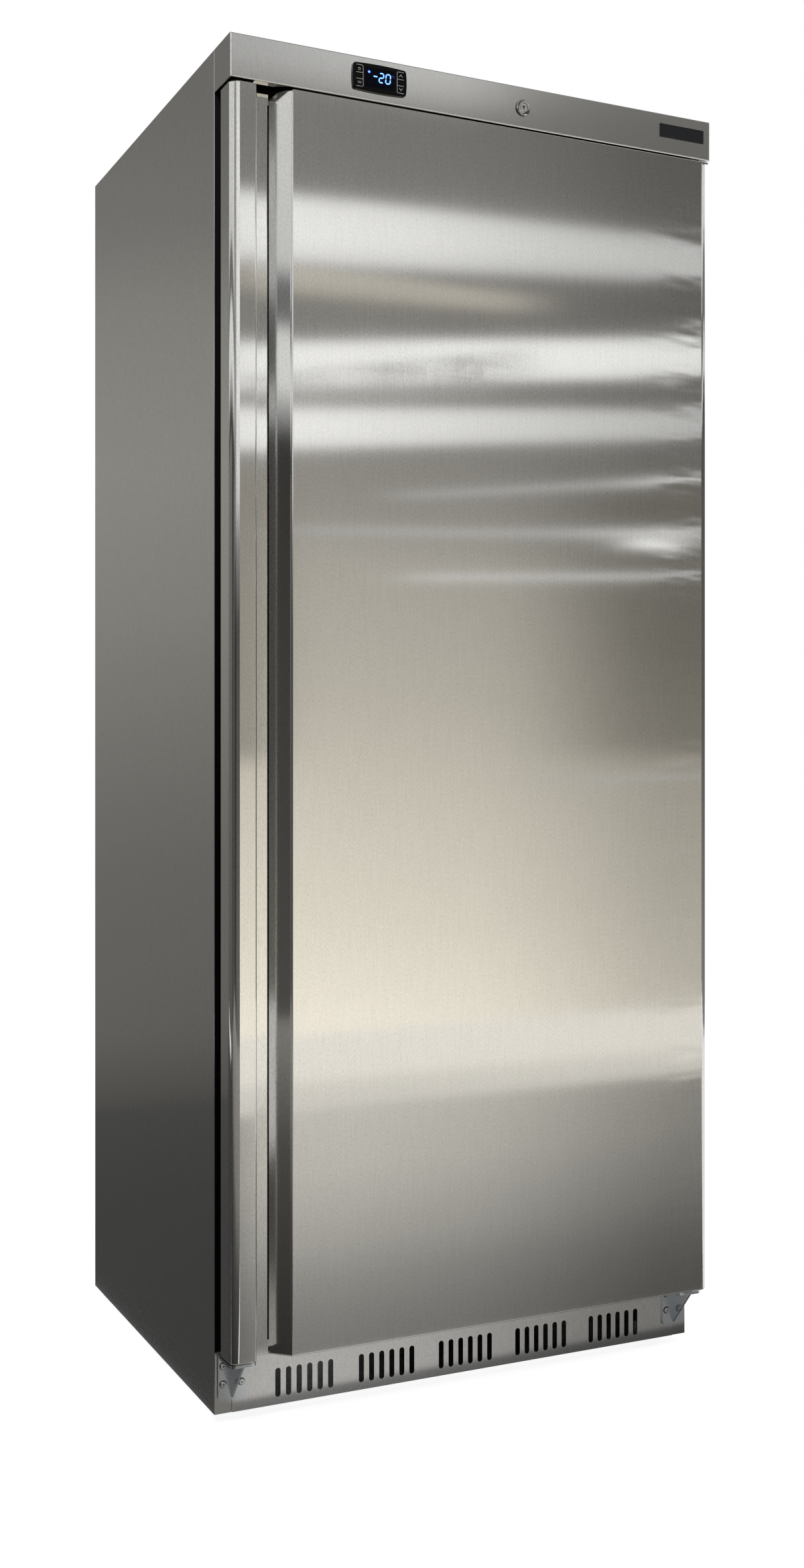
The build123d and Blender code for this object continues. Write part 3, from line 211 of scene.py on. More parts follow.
def plastic(name, base, rough=0.42, grain=900.0, depth=0.00003, vary=0.12, **sockets):
    """Moulded plastic: a fine spark-eroded texture and slight clouding."""
    s = Shade(name, **sockets)
    cloud = s.noise(9.0, detail=4.0)
    skin = s.noise(grain, detail=2.0, rough=0.6)
    dark = tuple(c * (1.0 - vary) for c in base)
    light = tuple(min(1.0, c * (1.0 + vary * 0.6)) for c in base)
    colour = s.ramp(cloud, (0.25, dark), (0.6, base), (0.85, light))
    roughness = s.math("ADD", s.math("MULTIPLY", skin, 0.14), rough - 0.07)
    return s.finish(colour, roughness, s.bump(skin, depth))


def painted(name, base, rough=0.35, peel=0.00004, chip=None):
    """Sprayed enamel: orange peel, dust on faces that look up, and a few bare specks."""
    s = Shade(name, Coat_Weight=0.25, Coat_Roughness=0.2)
    cloud = s.noise(12.0, detail=4.0)
    dark = tuple(c * 0.8 for c in base)
    colour = s.ramp(cloud, (0.3, dark), (0.7, base))
    up = s.axis(2, s.node("ShaderNodeNewGeometry").outputs["Normal"])
    dust = s.math("MULTIPLY", s.span(up, 0.35, 1.0, 0.0, 0.3), s.noise(60.0, detail=4.0))
    colour = s.mix(dust, colour, (0.34, 0.32, 0.29))
    if chip:
        colour = s.mix(s.span(s.noise(260.0, detail=2.0, shift=4.0), 0.70, 0.74), colour, chip)
    roughness = s.math("ADD", dust, rough)
    return s.finish(colour, roughness, s.bump(s.noise(300.0, detail=2.0), peel))


looks = {}
# The case's steel carries a strip of painted shade on its turned front edge, for the shaded gap behind the
# door.
looks["case_steel"] = steel("case_steel", (0.60, 0.595, 0.575), 0.17, wave=0.0006, seal=True)
looks["door_steel"] = steel("door_steel", (0.62, 0.617, 0.60), 0.085, wave=0.0004, edge=0.0003)
looks["fascia_steel"] = steel("fascia_steel", (0.62, 0.617, 0.60), 0.14, wave=0.0003, streak=0.5)
looks["kick_steel"] = steel("kick_steel", (0.62, 0.617, 0.605), 0.2, wave=0.0003)
looks["galvanised_sheet"] = zinc("galvanised_sheet", (0.52, 0.535, 0.55))
looks["zinc_steel"] = zinc("zinc_steel", (0.60, 0.625, 0.655), rough=0.24, spangle=1500.0, contrast=0.5)
looks["pin_steel"] = zinc("pin_steel", (0.62, 0.63, 0.64), rough=0.22, spangle=1800.0, contrast=0.5)
looks["foot_plastic"] = plastic("foot_plastic", (0.045, 0.045, 0.047), rough=0.5)
looks["frame_plastic"] = plastic("frame_plastic", (0.025, 0.025, 0.027), rough=0.5)
looks["badge_dark"] = plastic("badge_dark", (0.008, 0.0085, 0.011), rough=0.3, grain=1500.0, depth=0.00001,
                             Specular_IOR_Level=0.25)
looks["controller_black"] = plastic("controller_black", (0.002, 0.002, 0.0022), rough=0.2, grain=1800.0,
                                   depth=0.000006, Specular_IOR_Level=0.09)
looks["strike_plastic"] = plastic("strike_plastic", (0.09, 0.09, 0.095), rough=0.45)
looks["clip_white"] = plastic("clip_white", (0.74, 0.74, 0.72), rough=0.4)
looks["fan_grey"] = plastic("fan_grey", (0.32, 0.33, 0.34), rough=0.42)
looks["cover_black"] = plastic("cover_black", (0.03, 0.03, 0.032), rough=0.4)
looks["seal_grey"] = plastic("seal_grey", (0.05, 0.051, 0.053), rough=0.55, grain=500.0, depth=0.00005)
looks["machine_black"] = painted("machine_black", (0.02, 0.02, 0.022), rough=0.33, chip=(0.16, 0.16, 0.16))
looks["shelf_white"] = painted("shelf_white", (0.74, 0.75, 0.75), rough=0.3, peel=0.00006)


def liner_look():
    """White vacuum-formed liner: slight waviness, a satin sheen and faint frost in patches."""
    s = Shade("liner_white", Specular_IOR_Level=0.4)
    cloud = s.noise(3.0, detail=4.0)
    frost = s.noise(40.0, detail=5.0, shift=2.0)
    colour = s.ramp(cloud, (0.3, (0.76, 0.775, 0.78)), (0.7, (0.81, 0.82, 0.82)))
    roughness = s.math("ADD", s.math("MULTIPLY", frost, 0.2), 0.24)
    normal = s.bump(s.noise(7.0, detail=2.0), 0.0006)
    return s.finish(colour, roughness, s.bump(s.noise(500.0, detail=2.0), 0.000012, under=normal))


def foam_look():
    """Blown polyurethane foam: cream, open cells, with painted shade in the hollow of each cell."""
    s = Shade("foam", Specular_IOR_Level=0.2)
    cell = s.cells(420.0)
    big = s.cells(90.0)
    cloud = s.noise(8.0, detail=4.0)
    colour = s.ramp(cloud, (0.3, (0.66, 0.55, 0.33)), (0.7, (0.76, 0.66, 0.44)))
    colour = s.mix(s.span(cell, 0.0, 0.45, 0.35, 0.0), colour, (0.42, 0.32, 0.16))
    height = s.math("ADD", cell, s.math("MULTIPLY", big, 0.8))
    return s.finish(colour, s.math("ADD", s.math("MULTIPLY", cloud, 0.1), 0.82), s.bump(height, 0.0009))


def rubber_look():
    s = Shade("mount_rubber", Specular_IOR_Level=0.3)
    skin = s.noise(600.0, detail=3.0)
    bloom = s.noise(30.0, detail=4.0, shift=5.0)
    colour = s.ramp(bloom, (0.35, (0.018, 0.018, 0.018)), (0.75, (0.05, 0.049, 0.047)))
    return s.finish(colour, s.math("ADD", s.math("MULTIPLY", bloom, 0.2), 0.55), s.bump(skin, 0.00008))


def copper_look():
    """Drawn copper tube: bright with brown tarnish."""
    s = Shade("copper", Metallic=1.0)
    tarnish = s.noise(55.0, detail=5.0, rough=0.65)
    draw = s.noise(700.0, detail=2.0, shift=6.0)
    colour = s.ramp(tarnish, (0.3, (0.36, 0.17, 0.09)), (0.52, (0.80, 0.42, 0.27)),
                    (0.8, (0.93, 0.56, 0.39)))
    roughness = s.math("SUBTRACT", 0.46, s.math("MULTIPLY", tarnish, 0.3))
    return s.finish(colour, roughness, s.bump(draw, 0.00001))


def fin_look():
    """Aluminium fins and blades: fine upright fin edges, a little grey dust."""
    s = Shade("fan_aluminium", Metallic=1.0)
    wave = s.node("ShaderNodeTexWave", wave_type="BANDS", bands_direction="X", wave_profile="SIN")
    wave.inputs["Scale"].default_value = 70.0
    wave.inputs["Distortion"].default_value = 0.3
    s.join(s.where, wave.inputs["Vector"])
    dust = s.noise(70.0, detail=4.0, shift=8.0)
    colour = s.ramp(dust, (0.3, (0.70, 0.70, 0.69)), (0.8, (0.46, 0.45, 0.42)))
    roughness = s.math("ADD", s.math("MULTIPLY", dust, 0.3), 0.22)
    return s.finish(colour, roughness, s.bump(wave.outputs["Fac"], 0.00012))


def nickel_look():
    """Turned and nickel-plated lock: fine rings round its own axis, a few bright and dark."""
    low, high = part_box("lock_barrel")
    s = Shade("lock_nickel", Metallic=1.0)
    centre = (-(low.x + high.x) / 2, 0.0, -(low.z + high.z) / 2)
    rings = s.node("ShaderNodeTexWave", wave_type="RINGS", rings_direction="Y", wave_profile="SIN")
    rings.inputs["Scale"].default_value = 210.0
    rings.inputs["Distortion"].default_value = 1.2
    rings.inputs["Detail"].default_value = 1.0
    s.join(s.place(1.0, centre), rings.inputs["Vector"])
    ring = rings.outputs["Fac"]
    wear = s.noise(260.0, detail=4.0)
    tone = s.math("ADD", s.math("MULTIPLY", ring, 0.6), s.math("MULTIPLY", wear, 0.4))
    colour = s.ramp(tone, (0.2, (0.30, 0.295, 0.28)), (0.5, (0.60, 0.595, 0.57)),
                    (0.8, (0.82, 0.81, 0.79)))
    roughness = s.math("ADD", s.math("MULTIPLY", wear, 0.12), 0.12)
    return s.finish(colour, roughness, s.bump(ring, 0.00004))


def smoked_look():
    """Smoked display window: deep blue-black with a faint haze from wiping."""
    s = Shade("display_dark", Specular_IOR_Level=0.05)
    haze = s.noise((30.0, 30.0, 90.0), detail=4.0, twist=0.6)
    colour = s.ramp(haze, (0.3, (0.0005, 0.0008, 0.003)), (0.8, (0.001, 0.0016, 0.006)))
    return s.finish(colour, s.math("ADD", s.math("MULTIPLY", haze, 0.12), 0.06))


looks["liner_white"] = liner_look()
looks["foam"] = foam_look()
looks["mount_rubber"] = rubber_look()
looks["copper"] = copper_look()
looks["fan_aluminium"] = fin_look()
looks["display_dark"] = smoked_look()
looks["lock_nickel"] = nickel_look()
looks["top_steel"] = steel("top_steel", (0.60, 0.595, 0.575), 0.19, wave=0.0006, along="Y")

for name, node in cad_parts.items():
    for index, old in enumerate(node.data.materials):
        slot = old.name.split(".")[0]
        node.data.materials[index] = looks["top_steel" if name == "top_panel" else slot]


def glow(name, colour, strength):
    """Lit segments: an even glow of the colour, with a slight unevenness."""
    s = Shade(name)
    spot = s.noise(900.0, detail=2.0)
    lit = s.ramp(spot, (0.3, tuple(c * 0.85 for c in colour)), (0.7, colour))
    s.join(lit, s.bsdf.inputs["Emission Color"])
    s.bsdf.inputs["Emission Strength"].default_value = strength
    return s.finish((0.02, 0.03, 0.04), 0.4)


def ink_and_painted_shade(name, colour):
    """Print, slightly uneven in cover; also used for dark painted shade."""
    s = Shade(name)
    cover = s.noise(1400.0, detail=3.0)
    return s.finish(s.ramp(cover, (0.3, tuple(c * 0.8 for c in colour)), (0.65, colour)),
                    s.math("ADD", s.math("MULTIPLY", cover, 0.2), 0.35))


# ---------------------------------------------------------------- small raised shapes
def attach(name, mesh, look, body):
    """Adds a mesh as a visible piece that moves with `body` and carries the material `look`."""
    piece = bpy.data.objects.new(name, mesh)
    link(piece)
    piece.data.materials.append(look)
    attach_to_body(piece, body)


def raised(name, shapes, front, thick, body, look):
    """Flat shapes given as outlines in millimetres (x, z), `thick` deep behind the plane y = front."""
    points, faces = [], []
    for outline in shapes:
        start, count = len(points), len(outline)
        points += [(x * MM, front * MM, z * MM) for x, z in outline]
        points += [(x * MM, (front + thick) * MM, z * MM) for x, z in outline]
        faces.append(tuple(range(start, start + count)))
        faces.append(tuple(range(start + 2 * count - 1, start + count - 1, -1)))
        for i in range(count):
            j = (i + 1) % count
            faces.append((start + j, start + i, start + count + i, start + count + j))
    mesh = bpy.data.meshes.new(name)
    mesh.from_pydata(points, [], faces)
    mesh.validate()
    mesh.update()
    attach(name, mesh, look, body)


def bar(x0, z0, x1, z1, thick):
    """One stroke with pointed ends, as on a seven-segment display."""
    dx, dz = x1 - x0, z1 - z0
    length = math.hypot(dx, dz)
    ux, uz = dx / length, dz / length
    nx, nz = -uz * thick / 2, ux * thick / 2
    tip = thick / 2
    return [(x0, z0), (x0 + ux * tip + nx, z0 + uz * tip + nz), (x1 - ux * tip + nx, z1 - uz * tip + nz),
            (x1, z1), (x1 - ux * tip - nx, z1 - uz * tip - nz), (x0 + ux * tip - nx, z0 + uz * tip - nz)]


# strokes of the two digits that the display shows, by the letters in `digit`
SEGMENTS = {"2": "abged", "0": "abcdef"}


def digit(text, x, z, width, height, thick, lean=0.0, gap=0.35):
    """Strokes of one digit, `gap` short of the corners where they meet."""
    half = height / 2
    ends = {
        "a": (0, height, width, height), "b": (width, height, width, half), "c": (width, half, width, 0),
        "d": (0, 0, width, 0), "e": (0, 0, 0, half), "f": (0, half, 0, height), "g": (0, half, width, half),
    }
    strokes = []
    for key in SEGMENTS[text]:
        x0, z0, x1, z1 = ends[key]
        length = math.hypot(x1 - x0, z1 - z0)
        ux, uz = (x1 - x0) / length * gap, (z1 - z0) / length * gap
        stroke = bar(x0 + ux, z0 + uz, x1 - ux, z1 - uz, thick)
        strokes.append([(x + px + lean * pz, z + pz) for px, pz in stroke])
    return strokes


def polyline(points, thick, close=False):
    """Strokes of even width along a line of points, mitred where they meet."""
    points = [Vector(p) for p in points]
    count = len(points)
    sides = []
    for i, here in enumerate(points):
        before = points[i - 1] if (close or i) else None
        after = points[(i + 1) % count] if (close or i < count - 1) else None
        ways = [(here - before).normalized()] if before is not None else []
        ways += [(after - here).normalized()] if after is not None else []
        along = ways[0] if len(ways) == 1 else (ways[0] + ways[1]).normalized()
        normal = Vector((-along.y, along.x))
        spread = 1.0
        if len(ways) == 2:
            spread = 1.0 / max(0.4, normal.dot(Vector((-ways[1].y, ways[1].x))))
        sides.append((here + normal * thick * spread / 2, here - normal * thick * spread / 2))
    last = count if close else count - 1
    return [[tuple(sides[i][1]), tuple(sides[(i + 1) % count][1]), tuple(sides[(i + 1) % count][0]),
             tuple(sides[i][0])] for i in range(last)]


def arc(x, z, radius, start, end, steps=6):
    turns = [math.radians(start + (end - start) * k / steps) for k in range(steps + 1)]
    return [(x + radius * math.cos(turn), z + radius * math.sin(turn)) for turn in turns]


# The lit figures lie in the shallow recess in front of the lens: a deep blue edge under a pale core.
lens_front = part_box("display_lens")[0].y / MM
left = -388.5  # cabinet's left side
digit_base, digit_height = 1861.6, 12.7
LAYER = 0.06  # depth of one layer of lit figures
blue_edge = glow("led_blue_edge", (0.02, 0.10, 1.0), 1.25)
blue_core = glow("led_blue_core", (0.30, 0.70, 1.0), 1.7)
star_x, star_z = left + 202.2, 1873.9


def figures(thick, star_size):
    shapes = [bar(left + 208.6, 1868.8, left + 215.2, 1868.8, thick)]
    shapes += digit("2", left + 217.3, digit_base, 6.4, digit_height, thick, lean=0.07)
    shapes += digit("0", left + 227.3, digit_base, 6.7, digit_height, thick, lean=0.08)
    for k in range(4):
        turn = math.radians(45 * k + 22.5)
        dx, dz = star_size * math.cos(turn), star_size * math.sin(turn)
        shapes.append(bar(star_x - dx, star_z - dz, star_x + dx, star_z + dz, thick * 0.7))
    return shapes


raised("display_figures_edge", figures(2.5, 2.4), lens_front - LAYER, LAYER, "cabinet", blue_edge)
raised("display_figures_core", figures(1.35, 1.4), lens_front - 2 * LAYER, LAYER, "cabinet", blue_core)
unit = polyline(arc(left + 237.9, 1873.6, 0.6, 0, 330, 8), 0.35)
unit += polyline(arc(left + 240.3, 1872.3, 1.1, 50, 310, 8), 0.4)
raised("display_unit", unit, lens_front - LAYER, LAYER, "cabinet",
       glow("led_blue_dim", (0.03, 0.12, 0.9), 0.55))

# ---------------------------------------------------------------- printing on the controller
bezel_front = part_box("controller_housing")[0].y / MM
SHEET = 0.05  # thickness of printing
print_grey = ink_and_painted_shade("print_grey", (0.42, 0.42, 0.40))


def key_frame(x_line, x_open, low, high, cuts=(1861.9, 1870.8), line=0.55, r=1.8):
    """Printed bracket round a column of keys: rounded at the line's side, open at the other."""
    toward = 1.0 if x_open > x_line else -1.0
    x_turn, side = x_line + toward * r, 90 + toward * 90
    outline = ([(x_open, high)] + arc(x_turn, high - r, r, 90, side)
               + arc(x_turn, low + r, r, side, side + toward * 90) + [(x_open, low)])
    shapes = polyline(outline, line)
    for z in cuts:
        shapes += polyline([(x_line + toward * 0.3, z), (x_open, z)], line)
    return shapes


printing = key_frame(left + 193.0, left + 182.6, 1851.6, 1881.2)
printing += key_frame(left + 245.1, left + 255.2, 1851.6, 1881.0)
raised("controller_print", printing, bezel_front - SHEET, SHEET, "cabinet", print_grey)


def key_print(name, strokes):
    """A glyph printed on one key's face, centred on the key and moving with it."""
    low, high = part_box(name)
    x, z = (low.x + high.x) / 2 / MM, (low.z + high.z) / 2 / MM
    shapes = [[(x + px, z + pz) for px, pz in stroke] for stroke in strokes]
    raised(name + "_print", shapes, low.y / MM - SHEET, SHEET, name, print_grey)


chevron = polyline([(-2.6, -1.6), (-1.5, -0.6), (0.0, 1.6), (1.5, -0.6), (2.6, -1.6)], 0.6)
key_print("key_up", chevron)
key_print("key_down", [[(x, -z) for x, z in reversed(stroke)] for stroke in chevron])
power = polyline(arc(0.0, -0.2, 1.7, 125, 415, 12), 0.5) + polyline([(0.0, 0.2), (0.0, 2.1)], 0.5)
key_print("key_upper_left", power)
drops = []
for dx in (-2.1, 0.0, 2.1):
    drops += polyline([(dx, 1.6), (dx - 0.5, 0.5), (dx + 0.5, -0.5), (dx, -1.6)], 0.45)
key_print("key_lower_left", drops)

# ---------------------------------------------------------------- screw recesses, as painted shade
screw_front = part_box("bracket_screws")[0].y / MM
bracket_front = screw_front + 3.0  # behind the screws' heads
bracket_x, screw_apart = 364.0, 13.3  # the brackets' middle from the cabinet's, and the screws' from theirs
cross_arm, cross_line, head_ring = 1.9, 0.8, 5.0
recess_shades, rings = [], []
screws = [(x, z) for middle in (-bracket_x, bracket_x) for x in (middle - screw_apart, middle + screw_apart)
          for z in (57.0, 82.0)]
for x, z in screws:
    for dx, dz in ((cross_arm, 0.0), (0.0, cross_arm)):
        recess_shades += polyline([(x - dx, z - dz), (x + dx, z + dz)], cross_line)
    rings += polyline(arc(x, z, head_ring, 0, 337.5, 15), cross_line, close=True)
# Painted shade: dark crosses stand for the shade inside the screws' recesses, dark rings for the shadow
# round their heads.
painted_shade = ink_and_painted_shade("painted_shade_dark", (0.012, 0.012, 0.013))
THIN = 0.03  # thickness of the dark shapes of painted shade, such as those that stand for recesses
raised("screw_recess_shades", recess_shades, screw_front - THIN, THIN, "cabinet", painted_shade)
raised("screw_shadow_rings", rings, bracket_front - SHEET, SHEET, "cabinet", painted_shade)

# ---------------------------------------------------------------- lock's painted shade and plug gap
lock_low, lock_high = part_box("lock_barrel")
lock_x, lock_z = (lock_low.x + lock_high.x) / 2 / MM, (lock_low.z + lock_high.z) / 2 / MM
ring_front = lock_low.y / MM
fascia_front = ring_front + 3.5
ring_face, plug_radius, side_shade_radius, side_shade_depth = 9.9, 6.6, 11.35, 2.2


def crescent(radius, start, end, depth, steps=14):
    """Crescent of painted shade along a circle round the lock's axis, widest halfway and running out at
    both ends.
    """
    outer = arc(lock_x, lock_z, radius, start, end, steps)
    inner = []
    for k in range(steps - 1, 0, -1):
        turn = math.radians(start + (end - start) * k / steps)
        r = radius - depth * math.sin(math.pi * k / steps)
        inner.append((lock_x + r * math.cos(turn), lock_z + r * math.sin(turn)))
    return [outer + inner]


# Painted shade: dark crescents on the ring's face at its upper left and lower right, a dark line at the
# plug's gap, and a dark band for the shaded side of the barrel.
shade_and_plug_gap = crescent(ring_face, 78.0, 222.0, 1.9) + crescent(ring_face, 250.0, 358.0, 2.9)
shade_and_plug_gap += polyline(arc(lock_x, lock_z, plug_radius, 0, 345, 23), 0.35, close=True)
raised("lock_shade_and_plug_gap", shade_and_plug_gap, ring_front - THIN, THIN, "cabinet", painted_shade)
side_shade = polyline(arc(lock_x, lock_z, side_shade_radius, 0, 345, 23), 0.3, close=True)
raised("lock_side_shade", side_shade, fascia_front - side_shade_depth, side_shade_depth, "cabinet", painted_shade)

# ---------------------------------------------------------------- folded sheets
def folded(name, outline, ends, place, body, slot):
    """Sheet of one section along a straight run, whose ends are `ends`: `place(a, b, t)` says where the
    outline's point (a, b) lies at the end t. All in millimetres."""
    count = len(outline)
    points = [tuple(v * MM for v in place(a, b, t)) for t in ends for a, b in outline]
    mesh = bpy.data.meshes.new(name)
    solid = bmesh.new()
    corners = [solid.verts.new(point) for point in points]
    for i in range(count):
        j = (i + 1) % count
        solid.faces.new((corners[i], corners[j], corners[count + j], corners[count + i]))
    solid.faces.new(corners[:count])
    solid.faces.new(corners[count:])
    bmesh.ops.recalc_face_normals(solid, faces=solid.faces)
    solid.to_mesh(mesh)
    solid.free()
    attach(name, mesh, looks[slot], body)


door_low, door_high = (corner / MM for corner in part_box("door_skin"))


def slope_section(lip=62.5, bend=88.5, set_back=25.0, proud=0.12, sheet=0.8, gap=1.3):
    """The handle's slope, carried on nearly to the lip. `lip`, `bend` and `set_back` are measured
    from the door's left front corner."""
    reach = math.hypot(bend - lip, set_back)
    ux, uy = (lip - bend) / reach, set_back / reach
    end = reach - gap
    line = [(2.0, 0.0), (3.2, proud), (end, proud), (end - sheet, proud - sheet), (3.2, proud - sheet)]
    return [(door_low.x + bend + ux * d - uy * out, door_low.y + uy * d + ux * out) for d, out in line]


def column_section(width=37.5, round_cad=8.0, radius=3.0, proud=0.03, overlap=1.0, sunk=0.1):
    """The column's right front corner, folded more sharply than the CAD's own rounding."""
    corner = arc(width - radius + proud, radius - proud, radius, 270, 360, 6)
    inner = arc(width - round_cad, round_cad, round_cad - sunk, 360, 270, 8)
    line = [(width - round_cad - overlap, -proud)] + corner + [(width + proud, round_cad + overlap)] + inner
    return [(door_low.x + u, door_low.y + v) for u, v in line]


def top_section(lift=0.9, radius=1.6, depth=12.0, proud=0.02, round_cad=2.5, sunk=0.1):
    """The door's top edge, closing the face toward the fascia in front of the CAD's rounding."""
    front, top = door_low.y, door_high.z
    side = [(front - proud, top - round_cad - 0.2)]
    side += arc(front - proud + radius, top + lift - radius, radius, 180, 90, 5)
    return side + [(front + depth, top + lift), (front + depth, top - sunk),
                   (front + round_cad + sunk, top - sunk), (front + 0.3, top - round_cad + sunk)]


def riser_section(floor=163.8, face=103.5, step=335.0, sheet=1.5, bend=3.0, cove=4.5, lift=0.6, reach=8.5,
                  clear=0.05):
    """The liner's wall in front of the machine room: a cove at the floor, a fold over the step."""
    front, back = face - sheet, face + reach
    return ([(front - cove, floor + clear)] + arc(front - cove, floor + 0.2 + cove, cove, -90, 0)
            + arc(front + bend, step + lift - bend, bend, 180, 90)
            + [(back, step + lift), (back, step + clear), (face - clear, step + clear),
               (face - clear, floor + clear)])


def upright(x, y, t):
    return (x, y, t)


def sideways(y, z, t):
    return (t, y, z)


inside_half = 326.4  # from the cabinet's middle to just short of the liner's sides
for name, section, ends in (
    ("grip_slope", slope_section(), (door_low.z + 19.0, door_high.z - 17.0)),
    ("column_edge", column_section(), (door_low.z + 2.6, door_high.z - 2.6)),
):
    folded(name, section, ends, upright, "door", "door_steel")
folded("door_top_edge", top_section(), (door_low.x + 89.5, door_high.x - 0.6), sideways, "door",
       "door_steel")
folded("liner_riser", riser_section(), (-inside_half, inside_half), sideways, "cabinet", "liner_white")

# ---------------------------------------------------------------- floor and backdrop
def plain_floor():
    """White floor: plain to the camera and to metal, and it keeps the object's shadow."""
    s = Shade("floor")
    path = s.node("ShaderNodeLightPath")
    seen = s.math("MAXIMUM", path.outputs["Is Camera Ray"], path.outputs["Is Glossy Ray"])
    seen = s.math("MAXIMUM", seen, path.outputs["Is Transmission Ray"])
    shade = s.node("ShaderNodeBsdfDiffuse")
    shade.inputs["Color"].default_value = (0.3, 0.3, 0.3, 1.0)
    light = s.node("ShaderNodeEmission")
    light.inputs["Color"].default_value = (0.87, 0.87, 0.87, 1.0)
    both = s.node("ShaderNodeAddShader")
    s.join(shade.outputs[0], both.inputs[0])
    s.join(light.outputs[0], both.inputs[1])
    plain = s.node("ShaderNodeBsdfDiffuse")
    plain.inputs["Color"].default_value = (0.7, 0.7, 0.69, 1.0)
    pick = s.node("ShaderNodeMixShader")
    s.join(seen, pick.inputs[0])
    s.join(plain.outputs[0], pick.inputs[1])
    s.join(both.outputs[0], pick.inputs[2])
    s.join(pick.outputs[0], s.output.inputs["Surface"])
    return s.mat


def flat_stage(name, corners, look, steps=8):
    """Flat piece of the stage, divided evenly, whose UV runs along its sides."""
    a, b, c, d = (Vector(corner) * MM for corner in corners)
    grid = [(i / steps, j / steps) for j in range(steps + 1) for i in range(steps + 1)]
    faces = [(k, k + 1, k + steps + 2, k + steps + 1)
             for j in range(steps) for k in range(j * (steps + 1), j * (steps + 1) + steps)]
    mesh = bpy.data.meshes.new(name)
    mesh.from_pydata([a.lerp(b, u).lerp(d.lerp(c, u), v) for u, v in grid], [], faces)
    uv = mesh.uv_layers.new(name="uv")
    for loop, place in zip(mesh.loops, uv.data):
        place.uv = grid[loop.vertex_index]
    piece = bpy.data.objects.new(name, mesh)
    piece.data.materials.append(look)
    link(piece)
    return piece


flat_stage("floor", ((-9000, -9000, 0), (9000, -9000, 0), (9000, 9000, 0), (-9000, 9000, 0)), plain_floor())

world = bpy.data.worlds.new("studio")
scene.world = world
world.use_nodes = True
tree = world.node_tree
back = tree.nodes["Background"]
back.inputs["Color"].default_value = (1.0, 1.0, 1.0, 1.0)
path = tree.nodes.new("ShaderNodeLightPath")
seen = path.outputs["Is Camera Ray"]
for ray in ("Is Glossy Ray", "Is Transmission Ray"):
    either = tree.nodes.new("ShaderNodeMath")
    either.operation = "MAXIMUM"
    tree.links.new(seen, either.inputs[0])
    tree.links.new(path.outputs[ray], either.inputs[1])
    seen = either.outputs[0]
strength = tree.nodes.new("ShaderNodeMapRange")
tree.links.new(seen, strength.inputs["Value"])
strength.inputs["To Min"].default_value = 0.45
strength.inputs["To Max"].default_value = 1.0
tree.links.new(strength.outputs["Result"], back.inputs["Strength"])


# ---------------------------------------------------------------- cards that the steel reflects
def card(name, corners, up, across=((0.0, 1.0), (1.0, 1.0)), power=1.0, soft=(0.06, 0.12)):
    """A studio card or light panel that only reflections see: `up` and `across` give its
    brightness along each side, and `soft` how much of each side fades out at the edges."""
    s = Shade(name)
    uv = s.node("ShaderNodeTexCoord").outputs["UV"]
    u, v = s.axis(0, uv), s.axis(1, uv)
    tone = s.mix(1.0, s.ramp(v, *up), s.ramp(u, *across), "MULTIPLY")
    light = s.node("ShaderNodeEmission")
    s.join(tone, light.inputs["Color"])
    light.inputs["Strength"].default_value = power
    cover = 1.0
    for value, width in ((u, soft[0]), (v, soft[1])):
        if width:
            near = s.math("MINIMUM", value, s.math("SUBTRACT", 1.0, value))
            cover = s.math("MULTIPLY", s.span(near, 0.0, width), cover)
    clear = s.node("ShaderNodeBsdfTransparent")
    pick = s.node("ShaderNodeMixShader")
    s.join(cover, pick.inputs[0])
    s.join(clear.outputs[0], pick.inputs[1])
    s.join(light.outputs[0], pick.inputs[2])
    s.join(pick.outputs[0], s.output.inputs["Surface"])
    piece = flat_stage(name, corners, s.mat)
    piece.visible_camera = False
    piece.visible_diffuse = False
    piece.visible_transmission = False
    piece.visible_volume_scatter = False
    piece.visible_shadow = False
    return piece


def strip(name, left_low, left_high, right_low, right_high, x0=560, x1=2700, y=-3330, **more):
    """A card that stands across the view: its lower and upper edge at either end."""
    corners = ((x0, y, left_low), (x1, y, right_low), (x1, y, right_high), (x0, y, left_high))
    return card(name, corners, **more)


WARM = (1.0, 0.94, 0.82)


def warm(value, amount=1.0):
    """A grey of this value, tinted toward the room's warm light."""
    return tuple(value * (1.0 - amount * (1.0 - c)) for c in WARM)


card("card_front_wall", ((300, -3345, 0), (3300, -3345, 0), (3300, -3345, 3400), (300, -3345, 3400)),
     up=((0.0, warm(1.0)), (0.11, warm(0.82)), (0.18, warm(0.74)), (0.25, warm(0.65)), (0.32, warm(0.56)),
         (0.46, warm(0.44, 0.8)), (0.50, warm(0.34, 0.7)), (0.57, warm(0.27, 0.6)), (0.70, warm(0.22, 0.5)),
         (0.83, warm(0.22, 0.4)), (0.90, warm(0.2, 0.4)), (1.0, warm(0.22, 0.4))),
     across=((0.0, 0.9), (0.2, 1.0), (0.43, 0.9), (0.52, 0.78), (0.60, 0.66), (0.67, 0.55), (1.0, 0.5)),
     power=1.42, soft=(0.0, 0.0))
strip("card_right_dark", 830, 1990, 850, 1990, y=-3340, x0=1650, x1=3300,
      up=((0.0, warm(1.0)), (0.4, warm(0.72)), (1.0, warm(0.6))), power=0.31, soft=(0.45, 0.12))
strip("card_strip_top", 2455, 2755, 2640, 2815, up=((0.0, 0.8), (0.4, 1.0), (1.0, 1.0)),
      across=((0.0, 1.0), (0.35, 0.9), (0.6, 0.72), (0.85, 0.6)), power=1.36, soft=(0.03, 0.2))
